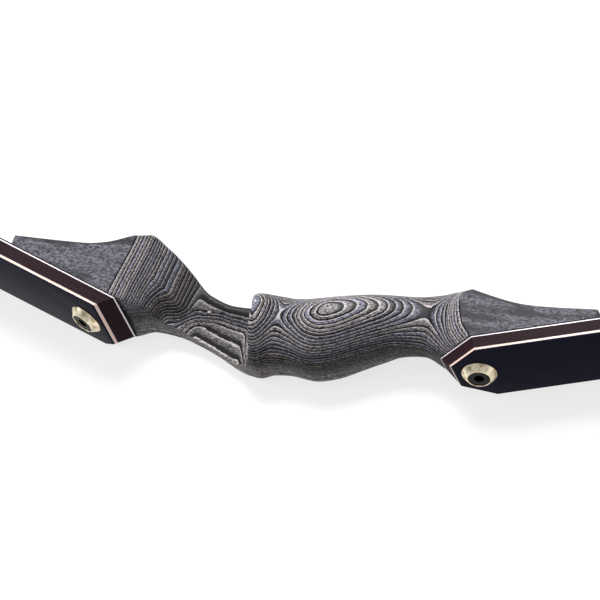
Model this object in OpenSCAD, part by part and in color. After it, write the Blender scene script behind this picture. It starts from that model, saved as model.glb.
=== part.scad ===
// Three-piece takedown recurve bow, unstrung and lying on its right-hand side.
// +X runs along the bow towards the lower limb, +Y towards the archer (the belly side), +Z up (the arrow side).
// The origin is on the bow's centre plane, midway between the two limb bolts, level with the limbs' outer faces.

/* [Handle] */
// Width of the handle blank, and of the limb butts that lie flush with it
blank_w = 45; // [42:0.5:50]
// Distance between the two limb bolts
bolt_spacing = 271; // [264:1:290]
// Angle of each limb pad to the length of the bow
pad_angle = 18.3; // [15:0.1:20]
// From the middle of the bow to the upper end of the handle
reach_up = 193; // [185:1:200]
// From the middle of the bow to the lower end of the handle
reach_down = 207; // [198:1:215]
// Thickness of wood that is left over the pad at each end
tip_t = 6; // [3:0.5:8]
// Height of the shoulder above the sight window
shoulder_up = 56; // [51:0.5:60]
// Height of the shoulder below the grip
shoulder_down = 51; // [46:0.5:56]

/* [Sight window and shelf] */
// Depth of the sight window past the centre plane
window_past = 4; // [1:0.5:6]
// Thickness of wood beside the sight window
window_t = 16; // [13:0.5:18]
// Height of the belly edge along the sight window
window_y = 27; // [23:0.5:30]
// Place of the arrow shelf's lip along the bow
shelf_x = -23; // [-28:0.5:-20]
// Half width of the wood at the shelf's lip
shelf_half = 20; // [17:0.5:22]

/* [Grip] */
// Half width of the grip at its fullest
grip_half = 21.5; // [18:0.5:22]
// Half width, on the arrow side, of the neck between the shelf and the grip's fullest part
neck_half = 12; // [10:0.5:15]
// Half width of the waist below the grip
waist_half = 11; // [9:0.5:14]
// Height of the throat, where the web of the hand sits
throat_y = 34; // [30:0.5:38]
// Height of the heel under the palm
heel_y = 46; // [42:0.5:50]
// How far the grip stands out on the target side
grip_back = 15.5; // [13:0.5:18]

/* [Limbs] */
// Length of a limb from its bolt to its string groove
nock_s = 628; // [600:1:660]
// Length of the tip past the string groove
tip_past = 16; // [12:0.5:22]
// Straight length of a limb from its bolt
straight_s = 110; // [100:1:130]
// Where the recurve begins, from the bolt
recurve_s = 430; // [400:5:460]
// Straight length at the tip
tip_straight = 46; // [40:1:60]
// Bend of the working part towards the target
work_bend = 22; // [16:0.5:26]
// Bend of the recurve towards the target
recurve_bend = 58; // [45:0.5:62]
// Thickness of the black glass on the target side
back_glass_t = 0.9; // [0.7:0.1:1.2]
// Thickness of the cream veneer under it
cream_t = 1.5; // [1:0.1:2]
// Thickness of the wooden core at the butt
core_t = 8.3; // [7:0.1:10]
// Thickness of the wooden core past the fade
core_fade_t = 3; // [2.5:0.1:4]
// Thickness of the wooden core at the tip
core_tip_t = 2.2; // [1.8:0.1:2.5]
// Thickness of the white veneer
white_t = 0.7; // [0.4:0.1:1.2]
// Thickness of the black glass on the belly side
belly_glass_t = 0.9; // [0.7:0.1:1.2]
// Width of the limb just before the string groove
nock_w = 17; // [15:0.5:20]
// Width at the end of the tip
tip_w = 11; // [9:0.5:13]
// Thickness of the overlay on the tip
overlay_t = 2.5; // [1.5:0.1:3.5]
// Length of the overlay, back from the end of the tip
overlay_l = 84; // [70:1:100]
// Radius of the string groove
groove_r = 2.4; // [1.8:0.1:2.8]

/* [Limb butts] */
// From the bolt to the end of the butt, on the outer face
butt_end = 14.5; // [14:0.1:18]
// Lean of the upper butt's end from square
lean_up = 38.6; // [0:0.1:42]
// Lean of the lower butt's end from square
lean_down = 39; // [0:0.1:42]
// Angle of the lower limb's corner cuts to its length
corner_angle = 34.2; // [30:0.1:45]
// Width that the corner cuts leave at the end of the lower butt
corner_flat = 19.4; // [12:0.1:22]
// Lean of the corner cuts
corner_lean = 8.7; // [0:0.1:14]
// Width that the small cut takes off the upper butt's right-hand corner
small_cut = 4.4; // [2:0.1:7]

/* [Limb bolts] */
// Nominal diameter of the limb bolt
bolt_d = 8; // [6:1:8]
// Length of the limb bolt under its head
bolt_l = 25; // [22:1:30]
// Diameter of the bolt's head
head_d = 13; // [12:0.1:13.5]
// Height of the bolt's head
head_h = 8; // [6:0.1:9]
// Width of the hexagon socket across its flats
socket_w = 6; // [5:0.5:6.5]
// Depth of the hexagon socket
socket_h = 4.2; // [3:0.1:5]
// How far the bolt's head lies below the washer's rim
head_sunk = 0.4; // [0:0.1:1]

/* [Washers, inserts and pins] */
// Diameter of the cone washer at the limb
washer_d = 22; // [20:0.1:24]
// Diameter of the washer's rim
rim_d = 15; // [14.6:0.1:17]
// Height of the cone washer over the limb
washer_h = 4.4; // [3.5:0.1:6]
// Straight edge at the washer's foot
washer_edge = 0.6; // [0.3:0.1:1]
// Diameter of the washer's spigot in the limb
spigot_d = 16.4; // [16:0.1:17.5]
// Thickness of the washer's floor under the bolt's head
floor_t = 1.5; // [1:0.1:2]
// Diameter of the threaded insert
insert_d = 12; // [11:0.1:14]
// Length of the threaded insert
insert_l = 18; // [16:0.5:22]
// Diameter of the insert's flange
flange_d = 15; // [14.5:0.1:18]
// Thickness of the insert's flange
flange_t = 1.5; // [1:0.1:2]
// Diameter of the locating pin
pin_d = 5; // [4:0.5:6]
// From the bolt to the locating pin
pin_s = 32; // [26:1:40]
// Depth of the locating pin in the handle
pin_in = 8; // [6:0.5:10]
// How far the locating pin stands out of the pad
pin_out = 6; // [4:0.5:6]

/* [Hidden] */
$fn = 64;

// Clearances: between pieces that move apart, in a thread, under a spigot or a pin, and under a limb on its pad
gap = 0.3;
thread_gap = 0.05;
end_gap = 0.2;
seat_gap = 0.02;

// Spacing of the sections along the handle, and close spacing at the shelf
section_step = 4.2;
shelf_step = 1.1;
// Sides of each rounded corner of a section
corner_n = 6;
// A size larger than the handle, for the blocks that cut it
big = 150;

bolt_x = bolt_spacing / 2;
half = blank_w / 2;
butt_t = back_glass_t + cream_t + core_t + white_t + belly_glass_t;

// Height of the pad's plane at x, the same for both ends
function pad_y(x) =
    let (px = bolt_x - butt_t * sin(pad_angle))
    butt_t * cos(pad_angle) + (abs(x) - px) * tan(pad_angle);

// A smooth line through points [x, value] that never overshoots them
function rise(t, i) = (t[i + 1][1] - t[i][1]) / (t[i + 1][0] - t[i][0]);
function slope(t, i) =
    i == 0 ? rise(t, 0)
    : i == len(t) - 1 ? rise(t, i - 1)
    : let (a = rise(t, i - 1), b = rise(t, i), l = t[i][0] - t[i - 1][0], r = t[i + 1][0] - t[i][0])
      a * b <= 0 ? 0 : 3 * (l + r) / ((2 * r + l) / a + (r + 2 * l) / b);
function span_of(t, x, i = 0) = i >= len(t) - 2 || x < t[i + 1][0] ? i : span_of(t, x, i + 1);
function line_at(t, x) =
    let (i = span_of(t, x), d = t[i + 1][0] - t[i][0], u = (x - t[i][0]) / d,
         a = slope(t, i) * d, b = slope(t, i + 1) * d, p = t[i][1], q = t[i + 1][1])
    p + u * (a + u * (3 * (q - p) - 2 * a - b + u * (2 * (p - q) + a + b)));

// The handle's outlines, from the upper end to the lower one.
// Height of the belly edge
belly_line = [
    [-reach_up, pad_y(reach_up) + tip_t], [-reach_up + 28, pad_y(reach_up - 28) + 16],
    [-bolt_x - 8, shoulder_up - 16.2], [-bolt_x + 4, shoulder_up - 13.7], [-118, shoulder_up - 8],
    [-105, shoulder_up], [-90, shoulder_up - 4.5], [-80, window_y + 16], [-64, window_y + 5],
    [-45, window_y], [shelf_x - 2, window_y + 1],
    [-5, throat_y - 0.5], [8, throat_y], [25, throat_y + 2], [55, heel_y - 3], [78, heel_y],
    [101, shoulder_down], [bolt_x - 11, shoulder_down - 7],
    [reach_down - 47, pad_y(reach_down - 47) + 18], [reach_down, pad_y(reach_down) + tip_t]
];
// Height of the edge on the target side, which lies under the pads' planes at both ends
back_line = [
    [-reach_up, pad_y(reach_up) - 5], [-bolt_x - 14, pad_y(bolt_x + 14) - 3], [-bolt_x + 23, pad_y(bolt_x - 23)],
    [-97, 9], [-80, 7.5], [-64, 3], [-48, -3], [-34, 6 - grip_back], [shelf_x + 1, 1.5 - grip_back],
    [-14, -grip_back], [-6, 2.5 - grip_back], [6, 3.5 - grip_back], [22, 2 - grip_back], [36, 5.5 - grip_back],
    [50, -2.8], [62, 3.5], [75, 8.5], [92, 9.5], [bolt_x - 23, pad_y(bolt_x - 23) - 1.5],
    [bolt_x + 14, pad_y(bolt_x + 14) - 4], [reach_down, pad_y(reach_down) - 5]
];
// Width on the arrow side between the neck and the grip's fullest part
function swell(u) = neck_half + u * (grip_half - neck_half);
// Width on the arrow side at the belly edge; past half the blank it stays flat
near_belly_line = [
    [-reach_up, half + 18], [-bolt_x + 12, half + 4.5], [-105, half + 1], [-98, half - 0.5], [-92, half - 5.5],
    [-85, 10 - window_past], [-78, 2 - window_past], [-72, -window_past], [shelf_x - 4, -window_past], [shelf_x - 2.5, 2 - window_past],
    [shelf_x, shelf_half - 1], [shelf_x + 3, shelf_half + 0.5], [-4, neck_half], [6, swell(0.26)],
    [20, swell(0.79)], [31, grip_half], [60, (grip_half + waist_half) / 2 + 1], [91, waist_half],
    [106, waist_half + 6], [113, half], [119, half + 2.5], [bolt_x - 5, half + 8], [reach_down, half + 18]
];
// Width on the arrow side at the target edge
near_back_line = [
    [-reach_up, half + 18], [-bolt_x + 12, half + 2.5], [-113, half - 2], [-105, half - 9.5],
    [-100, half - 15.5], [-95, 6 - window_past], [-90, -window_past], [-86, -3 - window_past],
    [-77, -4 - window_past], [shelf_x - 6, -4 - window_past], [shelf_x - 0.5, -window_past], [shelf_x + 3, shelf_half - 2], [shelf_x + 7, shelf_half - 1.5],
    [-4, neck_half], [6, swell(0.26)], [20, swell(0.79)], [31, grip_half], [60, (grip_half + waist_half) / 2 + 1], [91, waist_half], [106, waist_half + 1.5],
    [119, half - 4.3], [bolt_x - 2.5, half], [bolt_x + 9.5, half + 5.5], [reach_down, half + 18]
];
// Width on the far side, the same at both edges
far_line = [
    [-reach_up, half + 18], [-bolt_x + 12, half + 6], [-112, half], [-85, window_t + window_past + 0.5],
    [-50, window_t + window_past], [shelf_x + 1, shelf_half - 0.5], [27, grip_half - 1.5],
    [60, (grip_half + waist_half) / 2 + 0.5], [91, waist_half], [106, waist_half + 4.5], [118, half],
    [bolt_x - 5, half + 8], [reach_down, half + 18]
];
// Width at which the edges lie: the middle of each section
middle_line = [
    [-reach_up, 0], [-112, 0], [-90, 2 - window_past - window_t / 2], [-70, -window_past - window_t / 2], [-35, -window_past - window_t / 2 - 1],
    [shelf_x + 5, -4], [0, -2], [60, -2], [91, 0], [reach_down, 0]
];
// Rounding of the corners, as a share of the half height (r) and of the width beside it (w)
near_belly_r = [[-193, 0.08], [-120, 0.1], [-100, 0.2], [-70, 0.3], [-30, 0.3], [-20, 0.6], [0, 0.9], [30, 0.95],
                [91, 0.9], [112, 0.6], [125, 0.2], [207, 0.08]];
near_belly_w = [[-193, 0.06], [-120, 0.08], [-100, 0.2], [-70, 0.3], [-30, 0.3], [-20, 0.6], [0, 0.95], [30, 0.97],
                [91, 0.9], [112, 0.5], [125, 0.1], [207, 0.06]];
near_back_r = [[-193, 0.05], [-116, 0.05], [-104, 0.12], [-60, 0.12], [-30, 0.15], [-22, 0.97], [112, 0.97],
               [128, 0.6], [134, 0.05], [207, 0.05]];
near_back_w = [[-193, 0.03], [-116, 0.05], [-104, 0.15], [-60, 0.2], [-30, 0.3], [-20, 0.9], [0, 0.97], [91, 0.97],
               [112, 0.9], [128, 0.3], [134, 0.03], [207, 0.03]];
far_r = [[-193, 0.05], [-116, 0.05], [-90, 0.2], [-30, 0.2], [0, 0.4], [30, 0.4], [91, 0.5], [112, 0.7],
         [131, 0.1], [207, 0.05]];
far_w = [[-193, 0.03], [-116, 0.05], [-90, 0.2], [-30, 0.2], [0, 0.45], [30, 0.5], [91, 0.6], [112, 0.6],
         [131, 0.05], [207, 0.03]];
// How far the crest of the arrow side lies towards the belly, as a share of the half height
crest_line = [[-193, 0], [-23, 0], [-10, 0.1], [31, 0.16], [70, 0.08], [100, 0], [207, 0]];
// Where the arrow side steps from the target edge's width to the belly edge's, and over how much of the height
step_line = [[-193, 0.5], [-95, 0.5], [-85, 0.45], [-77, 0.25], [-71, 0.33], [-65, 0.48], [-50, 0.68], [-30, 0.68],
             [-20, 0.5], [207, 0.5]];
step_run = [[-193, 1], [-95, 1], [-85, 0.8], [-77, 0.45], [-71, 0.35], [-50, 0.28], [-30, 0.28], [-20, 1], [207, 1]];
// Slackness of the corner between the arrow side and the target side: 1 is round, more is flatter
slack_line = [[-193, 1], [-40, 1], [-15, 1.3], [10, 1.45], [40, 1.4], [91, 1.15], [112, 1], [207, 1]];

// A quarter of a section in a unit square, from the edge [1, 0] to the side [0, 1], which it leaves out
function quarter(r, w, e = 1) = concat(
    [[1, 0]],
    [for (i = [0:corner_n])
        [1 - r + r * pow(cos(90 * i / corner_n), e), 1 - w + w * pow(sin(90 * i / corner_n), e)]],
    [[(1 - r) / 2, 1]]
);
function turned(q) = [for (i = [len(q) - 1:-1:1]) [-q[i][0], q[i][1]]];
// A whole section at x as a ring of points: the arrow side first, then the far side
function section(x) =
    let (top = line_at(belly_line, x), low = line_at(back_line, x), mid = line_at(middle_line, x),
         nb = line_at(near_belly_line, x), nk = line_at(near_back_line, x), far = line_at(far_line, x),
         c = (top + low) / 2, h = (top - low) / 2, k = line_at(crest_line, x),
         at = line_at(step_line, x), run = line_at(step_run, x),
         near_ring = concat(quarter(line_at(near_belly_r, x), line_at(near_belly_w, x)), [[0, 1]],
                            turned(quarter(line_at(near_back_r, x), line_at(near_back_w, x),
                                           line_at(slack_line, x)))),
         far_ring = concat(quarter(line_at(far_r, x), line_at(far_w, x)), [[0, 1]],
                           turned(quarter(line_at(far_r, x), line_at(far_w, x)))))
    concat(
        [for (p = near_ring)
            let (q = k + (p[0] > 0 ? 1 - k : 1 + k) * p[0], v = min(1, max(0, ((q + 1) / 2 - at) / run + 0.5)),
                 side = nk + (nb - nk) * v * v * (3 - 2 * v))
            [x, c + h * q, min(half, mid + p[1] * (side - mid))]],
        [[x, low, mid]],
        [for (i = [len(far_ring) - 1:-1:1])
            let (p = far_ring[i]) [x, c + h * p[0], max(-half, mid - p[1] * (mid + far))]]
    );

// Places of the sections along the handle
function places(a, b, step) = let (n = ceil((b - a) / step)) [for (i = [0:n - 1]) a + (b - a) * i / n];
section_x = concat(places(-reach_up, shelf_x - 5, section_step), places(shelf_x - 5, shelf_x + 8, shelf_step),
                   places(shelf_x + 8, reach_down, section_step), [reach_down]);

// The handle's wood before its pads are cut: sections joined by skins
module riser_blank() {
    rings = [for (x = section_x) section(x)];
    m = len(rings[0]);
    n = len(rings);
    points = concat([for (ring = rings) each ring],
                    [for (x = [-reach_up, reach_down])
                        [x, (line_at(belly_line, x) + line_at(back_line, x)) / 2, 0]]);
    skin = [for (i = [0:n - 2], j = [0:m - 1])
        let (k = (j + 1) % m, a = i * m + j, b = i * m + k, c = a + m, d = b + m)
        each [[a, b, c], [b, d, c]]];
    ends = [for (j = [0:m - 1])
        let (k = (j + 1) % m, e = (n - 1) * m)
        each [[n * m, k, j], [n * m + 1, e + j, e + k]]];
    polyhedron(points, concat(skin, ends), convexity = 8);
}

// Puts its children at the bolt of a limb: X along the limb, Z out of its outer face. side is 1 below, -1 above
module at_bolt(side) {
    mirror([side < 0 ? 1 : 0, 0, 0])
        translate([bolt_x, 0, 0]) rotate([0, 0, pad_angle]) rotate([90, 0, 0]) children();
}

// Depths below a limb's outer face at its butt
spigot_h = head_h + head_sunk - washer_h + floor_t;
head_z = washer_h - head_sunk - head_h;

module riser() {
    color("#3a3a3d")
    difference() {
        riser_blank();
        for (side = [-1, 1]) at_bolt(side) {
            translate([-big / 3, -big / 2, -butt_t - seat_gap]) cube([big, big, big]);
            translate([0, 0, -butt_t - seat_gap - insert_l - end_gap]) cylinder(d = insert_d, h = insert_l + end_gap + 1);
            translate([0, 0, -butt_t - seat_gap - flange_t]) cylinder(d = flange_d, h = flange_t + 1);
            translate([pin_s, 0, -butt_t - pin_in]) cylinder(d = pin_d, h = pin_in + 1);
        }
    }
}

// The limb's outer face as a line of places s from the bolt, with its direction at s
tip_s = nock_s + tip_past;
curl_s = tip_s - tip_straight;
function share(s, a, b) = min(1, max(0, (s - a) / (b - a)));
function heading(s) =
    pad_angle - work_bend * share(s, straight_s, recurve_s) - recurve_bend * share(s, recurve_s, curl_s);
limb_s = concat([-butt_end - 1.2 * butt_t, 0, 50, straight_s - 20], places(straight_s, recurve_s, 12),
                places(recurve_s, curl_s, 6), [curl_s, tip_s - overlay_l > curl_s ? tip_s - overlay_l : nock_s, tip_s]);
// Points of the outer face, walked from the bolt, each step in its mean direction
function walk(i, p) = i >= len(limb_s) - 1 ? [p] :
    let (s = limb_s[i], t = limb_s[i + 1], a = heading((s + t) / 2))
    concat([p], walk(i + 1, p + (t - s) * [cos(a), sin(a)]));
face_start = [bolt_x, 0] + limb_s[0] * [cos(pad_angle), sin(pad_angle)];
face = walk(0, face_start);
// A point at depth d under the outer face, at the i-th place
function under(i, d) = let (a = heading(limb_s[i])) face[i] + d * [-sin(a), cos(a)];

// Thickness of the core at s: full at the butt, faded to a thin limb, thinner still at the tip
fade_from = 95;
fade_to = 200;
function core_at(s) =
    let (u = share(s, fade_from, fade_to), v = share(s, fade_to, tip_s), f = u * u * (3 - 2 * u))
    core_t + (core_fade_t - core_t) * f + (core_tip_t - core_fade_t) * v;
// Depth of the top of each layer at s: 0 outer glass, 1 cream veneer, 2 core, 3 white veneer, 4 belly glass, 5 end
function depth(layer, s) =
    layer == 0 ? 0
    : layer == 1 ? back_glass_t
    : layer == 2 ? back_glass_t + cream_t
    : back_glass_t + cream_t + core_at(s) + (layer > 3 ? white_t : 0) + (layer > 4 ? belly_glass_t : 0);

// Half width of the limb at s
taper_from = 170;
function width_at(s) =
    let (u = share(s, taper_from, nock_s - 12), v = share(s, nock_s - 12, tip_s))
    half + (nock_w / 2 - half) * (0.35 * u + 0.65 * u * u * (3 - 2 * u)) + (tip_w - nock_w) / 2 * v;

// The limb seen from its face, as a prism through its whole depth
module limb_plan() {
    side = [for (i = [0:len(limb_s) - 1]) [face[i][0], width_at(limb_s[i])]];
    past = [face[len(face) - 1][0] + 8, tip_w / 2];
    rotate([90, 0, 0])
        linear_extrude(height = 3 * nock_s, center = true)
            polygon(concat(side, [past, [past[0], -past[1]]],
                           [for (i = [len(side) - 1:-1:0]) [side[i][0], -side[i][1]]]));
}

// One layer of a limb between two depths, before the butt and the tip are cut
module layer_strip(from, to) {
    n = len(limb_s);
    linear_extrude(height = blank_w + 10, center = true)
        polygon(concat([for (i = [0:n - 1]) under(i, depth(from, limb_s[i]))],
                       [for (i = [n - 1:-1:0]) under(i, depth(to, limb_s[i]))]));
}

// What is cut from every layer at the butt. The lower butt has both corners cut, the upper one a small cut
module butt_cuts(side) {
    translate([bolt_x, 0, 0]) rotate([0, 0, pad_angle]) rotate([90, 0, 0]) {
        translate([-butt_end, 0, 0]) rotate([0, side > 0 ? lean_down : lean_up, 0]) translate([-2 * half, -half - 5, -big / 2])
            cube([2 * half, blank_w + 10, big]);
        if (side > 0)
            for (m = [0, 1]) mirror([0, m, 0])
                translate([-butt_end, corner_flat / 2, 0]) rotate([0, 0, corner_angle])
                    rotate([corner_lean, 0, 0]) translate([-half, 0, -half]) cube([4 * half, 2 * half, 2 * half]);
        else
            translate([-butt_end, -half + small_cut, 0]) rotate([0, lean_up, 0]) rotate([0, 0, -corner_angle])
                translate([-half, -half, -half]) cube([2 * half, half, 2 * half]);
    }
}

// The bolt's hole, the washer's seat and the locating pin's hole
module butt_holes() {
    translate([bolt_x, 0, 0]) rotate([0, 0, pad_angle]) rotate([90, 0, 0]) {
        translate([0, 0, -butt_t - 1]) cylinder(d = bolt_d + 2 * gap, h = butt_t + 2);
        translate([0, 0, -spigot_h - end_gap]) cylinder(d = spigot_d + 2 * gap, h = spigot_h + 1);
        translate([pin_s, 0, -butt_t - 1]) cylinder(d = pin_d + 2 * gap, h = pin_out + end_gap + 1);
    }
}

// The two string grooves, square to the limb's face
module string_grooves() {
    i = len(limb_s) - 1;
    a = heading(tip_s);
    nock = face[i] - tip_past * [cos(a), sin(a)];
    w = width_at(nock_s);
    translate([nock[0], nock[1], 0]) rotate([0, 0, a]) rotate([90, 0, 0])
        for (m = [-1, 1]) translate([0, m * (w + groove_r / 4), 0]) cylinder(r = groove_r, h = half, center = true);
}

// One layer of a limb, finished. side is 1 for the lower limb and -1 for the upper one
module limb_layer(side, from, to) {
    mirror([side < 0 ? 1 : 0, 0, 0])
        difference() {
            intersection() {
                layer_strip(from, to);
                limb_plan();
            }
            butt_cuts(side);
            butt_holes();
            string_grooves();
        }
}

module back_glass(side) { color("#16161a") limb_layer(side, 0, 1); }
module cream_veneer(side) { color("#ddcdb8") limb_layer(side, 1, 2); }
module core(side) { color("#43343a") limb_layer(side, 2, 3); }
module white_veneer(side) { color("#eeece8") limb_layer(side, 3, 4); }
module belly_glass(side) { color("#16161a") limb_layer(side, 4, 5); }

// A wedge over the outer face at the tip, as wide as the limb and grooved with it
module tip_overlay(side) {
    start = tip_s - overlay_l;
    places_s = concat([for (s = limb_s) if (s > start + 1) s]);
    first = len(limb_s) - len(places_s);
    n = len(places_s);
    color("#16161a")
    mirror([side < 0 ? 1 : 0, 0, 0])
        difference() {
            intersection() {
                linear_extrude(height = blank_w + 10, center = true)
                    polygon(concat(
                        [for (i = [0:n - 1]) under(first + i, 0)],
                        [for (i = [n - 1:-1:0]) under(first + i, -overlay_t * share(places_s[i], start - 4, curl_s))]));
                limb_plan();
            }
            string_grooves();
        }
}

// Socket head bolt, its thread left plain
module limb_bolt(side) {
    color("#1b1b1d")
    at_bolt(side)
        difference() {
            union() {
                translate([0, 0, head_z]) cylinder(d = head_d, h = head_h);
                translate([0, 0, head_z - bolt_l]) cylinder(d = bolt_d - 2 * thread_gap, h = bolt_l);
            }
            translate([0, 0, head_z + head_h - socket_h])
                cylinder(d = socket_w / cos(30), h = socket_h + 1, $fn = 6);
        }
}

// Cone washer: a counterbored cup whose spigot sits in the limb
module bolt_washer(side) {
    color("#cdb27c")
    at_bolt(side)
        rotate_extrude()
            polygon([[bolt_d / 2 + gap, -spigot_h], [spigot_d / 2, -spigot_h], [spigot_d / 2, 0], [washer_d / 2, 0],
                     [washer_d / 2, washer_edge], [rim_d / 2, washer_h], [head_d / 2 + gap, washer_h],
                     [head_d / 2 + gap, head_z], [bolt_d / 2 + gap, head_z]]);
}

// Flanged insert that the bolt screws into
module threaded_insert(side) {
    color("#b89a5e")
    at_bolt(side)
        translate([0, 0, -butt_t - seat_gap])
            difference() {
                union() {
                    translate([0, 0, -insert_l]) cylinder(d = insert_d, h = insert_l);
                    translate([0, 0, -flange_t]) cylinder(d = flange_d, h = flange_t);
                }
                translate([0, 0, -insert_l - 1]) cylinder(d = bolt_d, h = insert_l + 2);
            }
}

// Steel pin that keeps the limb in line
module locating_pin(side) {
    color("#b9bcc2")
    at_bolt(side)
        translate([pin_s, 0, -butt_t - pin_in]) cylinder(d = pin_d, h = pin_in + pin_out);
}

module limb_piece(name, side) {
    if (name == "core") core(side);
    if (name == "belly_glass") belly_glass(side);
    if (name == "white_veneer") white_veneer(side);
    if (name == "cream_veneer") cream_veneer(side);
    if (name == "back_glass") back_glass(side);
    if (name == "tip_overlay") tip_overlay(side);
    if (name == "limb_bolt") limb_bolt(side);
    if (name == "bolt_washer") bolt_washer(side);
    if (name == "threaded_insert") threaded_insert(side);
    if (name == "locating_pin") locating_pin(side);
}

riser();
limb_piece("core", -1);  // upper_core
limb_piece("belly_glass", -1);  // upper_belly_glass
limb_piece("white_veneer", -1);  // upper_white_veneer
limb_piece("cream_veneer", -1);  // upper_cream_veneer
limb_piece("back_glass", -1);  // upper_back_glass
limb_piece("tip_overlay", -1);  // upper_tip_overlay
limb_piece("limb_bolt", -1);  // upper_limb_bolt
limb_piece("bolt_washer", -1);  // upper_bolt_washer
limb_piece("threaded_insert", -1);  // upper_threaded_insert
limb_piece("locating_pin", -1);  // upper_locating_pin
limb_piece("core", 1);  // lower_core
limb_piece("belly_glass", 1);  // lower_belly_glass
limb_piece("white_veneer", 1);  // lower_white_veneer
limb_piece("cream_veneer", 1);  // lower_cream_veneer
limb_piece("back_glass", 1);  // lower_back_glass
limb_piece("tip_overlay", 1);  // lower_tip_overlay
limb_piece("limb_bolt", 1);  // lower_limb_bolt
limb_piece("bolt_washer", 1);  // lower_bolt_washer
limb_piece("threaded_insert", 1);  // lower_threaded_insert
limb_piece("locating_pin", 1);  // lower_locating_pin
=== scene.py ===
# %% [markdown]
# # A takedown recurve bow
# A bow of this kind comes apart in three: a sculpted wooden handle and two limbs, held by a bolt each.
# This lesson dresses a measured model of one. The model is loaded first and never moved or resized, and
# each part below is built over it in metres, +X along the bow, +Y towards the archer, +Z up.

# %% Load the measured model
import math

import bpy
import numpy as np
from mathutils import Matrix, Vector


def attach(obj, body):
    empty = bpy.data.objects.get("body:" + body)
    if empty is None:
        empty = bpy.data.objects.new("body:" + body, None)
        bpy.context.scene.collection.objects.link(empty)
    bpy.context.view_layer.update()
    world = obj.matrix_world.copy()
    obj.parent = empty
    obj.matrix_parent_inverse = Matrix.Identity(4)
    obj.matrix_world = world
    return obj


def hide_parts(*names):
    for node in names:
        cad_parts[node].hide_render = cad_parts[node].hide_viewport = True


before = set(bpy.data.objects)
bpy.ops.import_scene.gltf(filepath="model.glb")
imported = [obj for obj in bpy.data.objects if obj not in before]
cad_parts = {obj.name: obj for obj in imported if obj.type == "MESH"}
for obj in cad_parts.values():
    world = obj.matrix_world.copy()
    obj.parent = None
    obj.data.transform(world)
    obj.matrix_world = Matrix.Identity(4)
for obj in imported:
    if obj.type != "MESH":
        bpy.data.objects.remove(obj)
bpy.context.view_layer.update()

# %% [markdown]
# ## The camera
# The photograph was taken from far away with a long lens, so parallel lines stay parallel in it. Three
# directions measured in the picture say how the bow's length, depth and width run across it. A camera's
# right and up axes are those numbers read the other way: one row for "right", one for "down".

# %% Camera
MM = 0.001                  # a millimetre, in metres
PHOTO_SIDE = 600            # the picture's side, pixels
PIXELS_PER_MM = 1.65
MIDDLE_AT = (282.25, 345.85)  # where the bow's origin lies in the picture
LENGTH_RUNS = (0.8794, 0.1207)
DEPTH_RUNS = (0.3606, -0.8047)
WIDTH_RUNS = (-0.3139, -0.5806)
SENSOR_MM = 36.0
DISTANCE = 15.0             # metres, far enough for parallel lines

right = Vector((LENGTH_RUNS[0], DEPTH_RUNS[0], WIDTH_RUNS[0])).normalized()
up = -Vector((LENGTH_RUNS[1], DEPTH_RUNS[1], WIDTH_RUNS[1]))
up = (up - up.dot(right) * right).normalized()
back = right.cross(up)
metres_per_pixel = MM / PIXELS_PER_MM
look_at = (right * (PHOTO_SIDE / 2 - MIDDLE_AT[0]) - up * (PHOTO_SIDE / 2 - MIDDLE_AT[1])) * metres_per_pixel

camera_data = bpy.data.cameras.new("photo_camera")
camera_data.sensor_width = SENSOR_MM
camera_data.lens = SENSOR_MM * DISTANCE / (PHOTO_SIDE * metres_per_pixel)
camera_data.clip_end = 4 * DISTANCE
camera = bpy.data.objects.new("photo_camera", camera_data)
axes = Matrix((right, up, back)).transposed().to_4x4()
camera.matrix_world = Matrix.Translation(look_at + back * DISTANCE) @ axes
bpy.context.scene.collection.objects.link(camera)
bpy.context.scene.camera = camera
print("lens", round(camera_data.lens), "mm, looking from", [round(v, 3) for v in back])

# %% [markdown]
# ## Nodes in one line each
# A material is a small machine of nodes. Writing one by hand means making a node, setting it and wiring
# it, over and over, so one short function does all three.

# %% Add a node
def pick(sockets, name):
    """A socket by number, or the first one in use that has this name."""
    if isinstance(name, int):
        return sockets[name]
    return next(s for s in sockets if s.name == name and s.enabled)


def add_node(tree, kind, inputs=None, out=0, **settings):
    """Adds a node and gives back one of its outputs.

    inputs holds values, or outputs of other nodes, by the name or the number of a socket.
    """
    node = tree.nodes.new(kind)
    for name, value in settings.items():
        setattr(node, name, value)
    for name, value in (inputs or {}).items():
        if isinstance(value, bpy.types.NodeSocket):
            tree.links.new(value, pick(node.inputs, name))
        else:
            pick(node.inputs, name).default_value = value
    return pick(node.outputs, out) if len(node.outputs) else node


trial = bpy.data.node_groups.new("trial", "ShaderNodeTree")
print("a math node gives back its socket called", add_node(trial, "ShaderNodeMath", {0: 2.0, 1: 3.0}).name)
bpy.data.node_groups.remove(trial)

# %% [markdown]
# ## Colours and the start of a material
# Colours are picked from a picture as sRGB hex codes, and a renderer works in linear light, so one function
# turns the first into the second. Each finish below starts as one surface shader whose steady values, such
# as how rough and how metallic it is, are set by name. Nodes then vary the rest.

# %% Colours and materials
def linear(hex_code):
    """An sRGB hex code as linear red, green, blue and full alpha."""
    parts = [int(hex_code[i:i + 2], 16) / 255 for i in (1, 3, 5)]
    return tuple(c / 12.92 if c <= 0.04045 else ((c + 0.055) / 1.055) ** 2.4 for c in parts) + (1.0,)


def new_material(name, **surface):
    """A material with one surface shader, whose constant sockets are set by name."""
    material = bpy.data.materials.new(name)
    material.use_nodes = True
    tree = material.node_tree
    tree.nodes.clear()
    shader = tree.nodes.new("ShaderNodeBsdfPrincipled")
    for socket, value in surface.items():
        shader.inputs[socket.replace("_", " ")].default_value = value
    add_node(tree, "ShaderNodeOutputMaterial", {"Surface": shader.outputs["BSDF"]})
    return material, tree, shader


print("mid grey is", [round(v, 3) for v in linear("#808080")[:3]], "in linear light")

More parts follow.
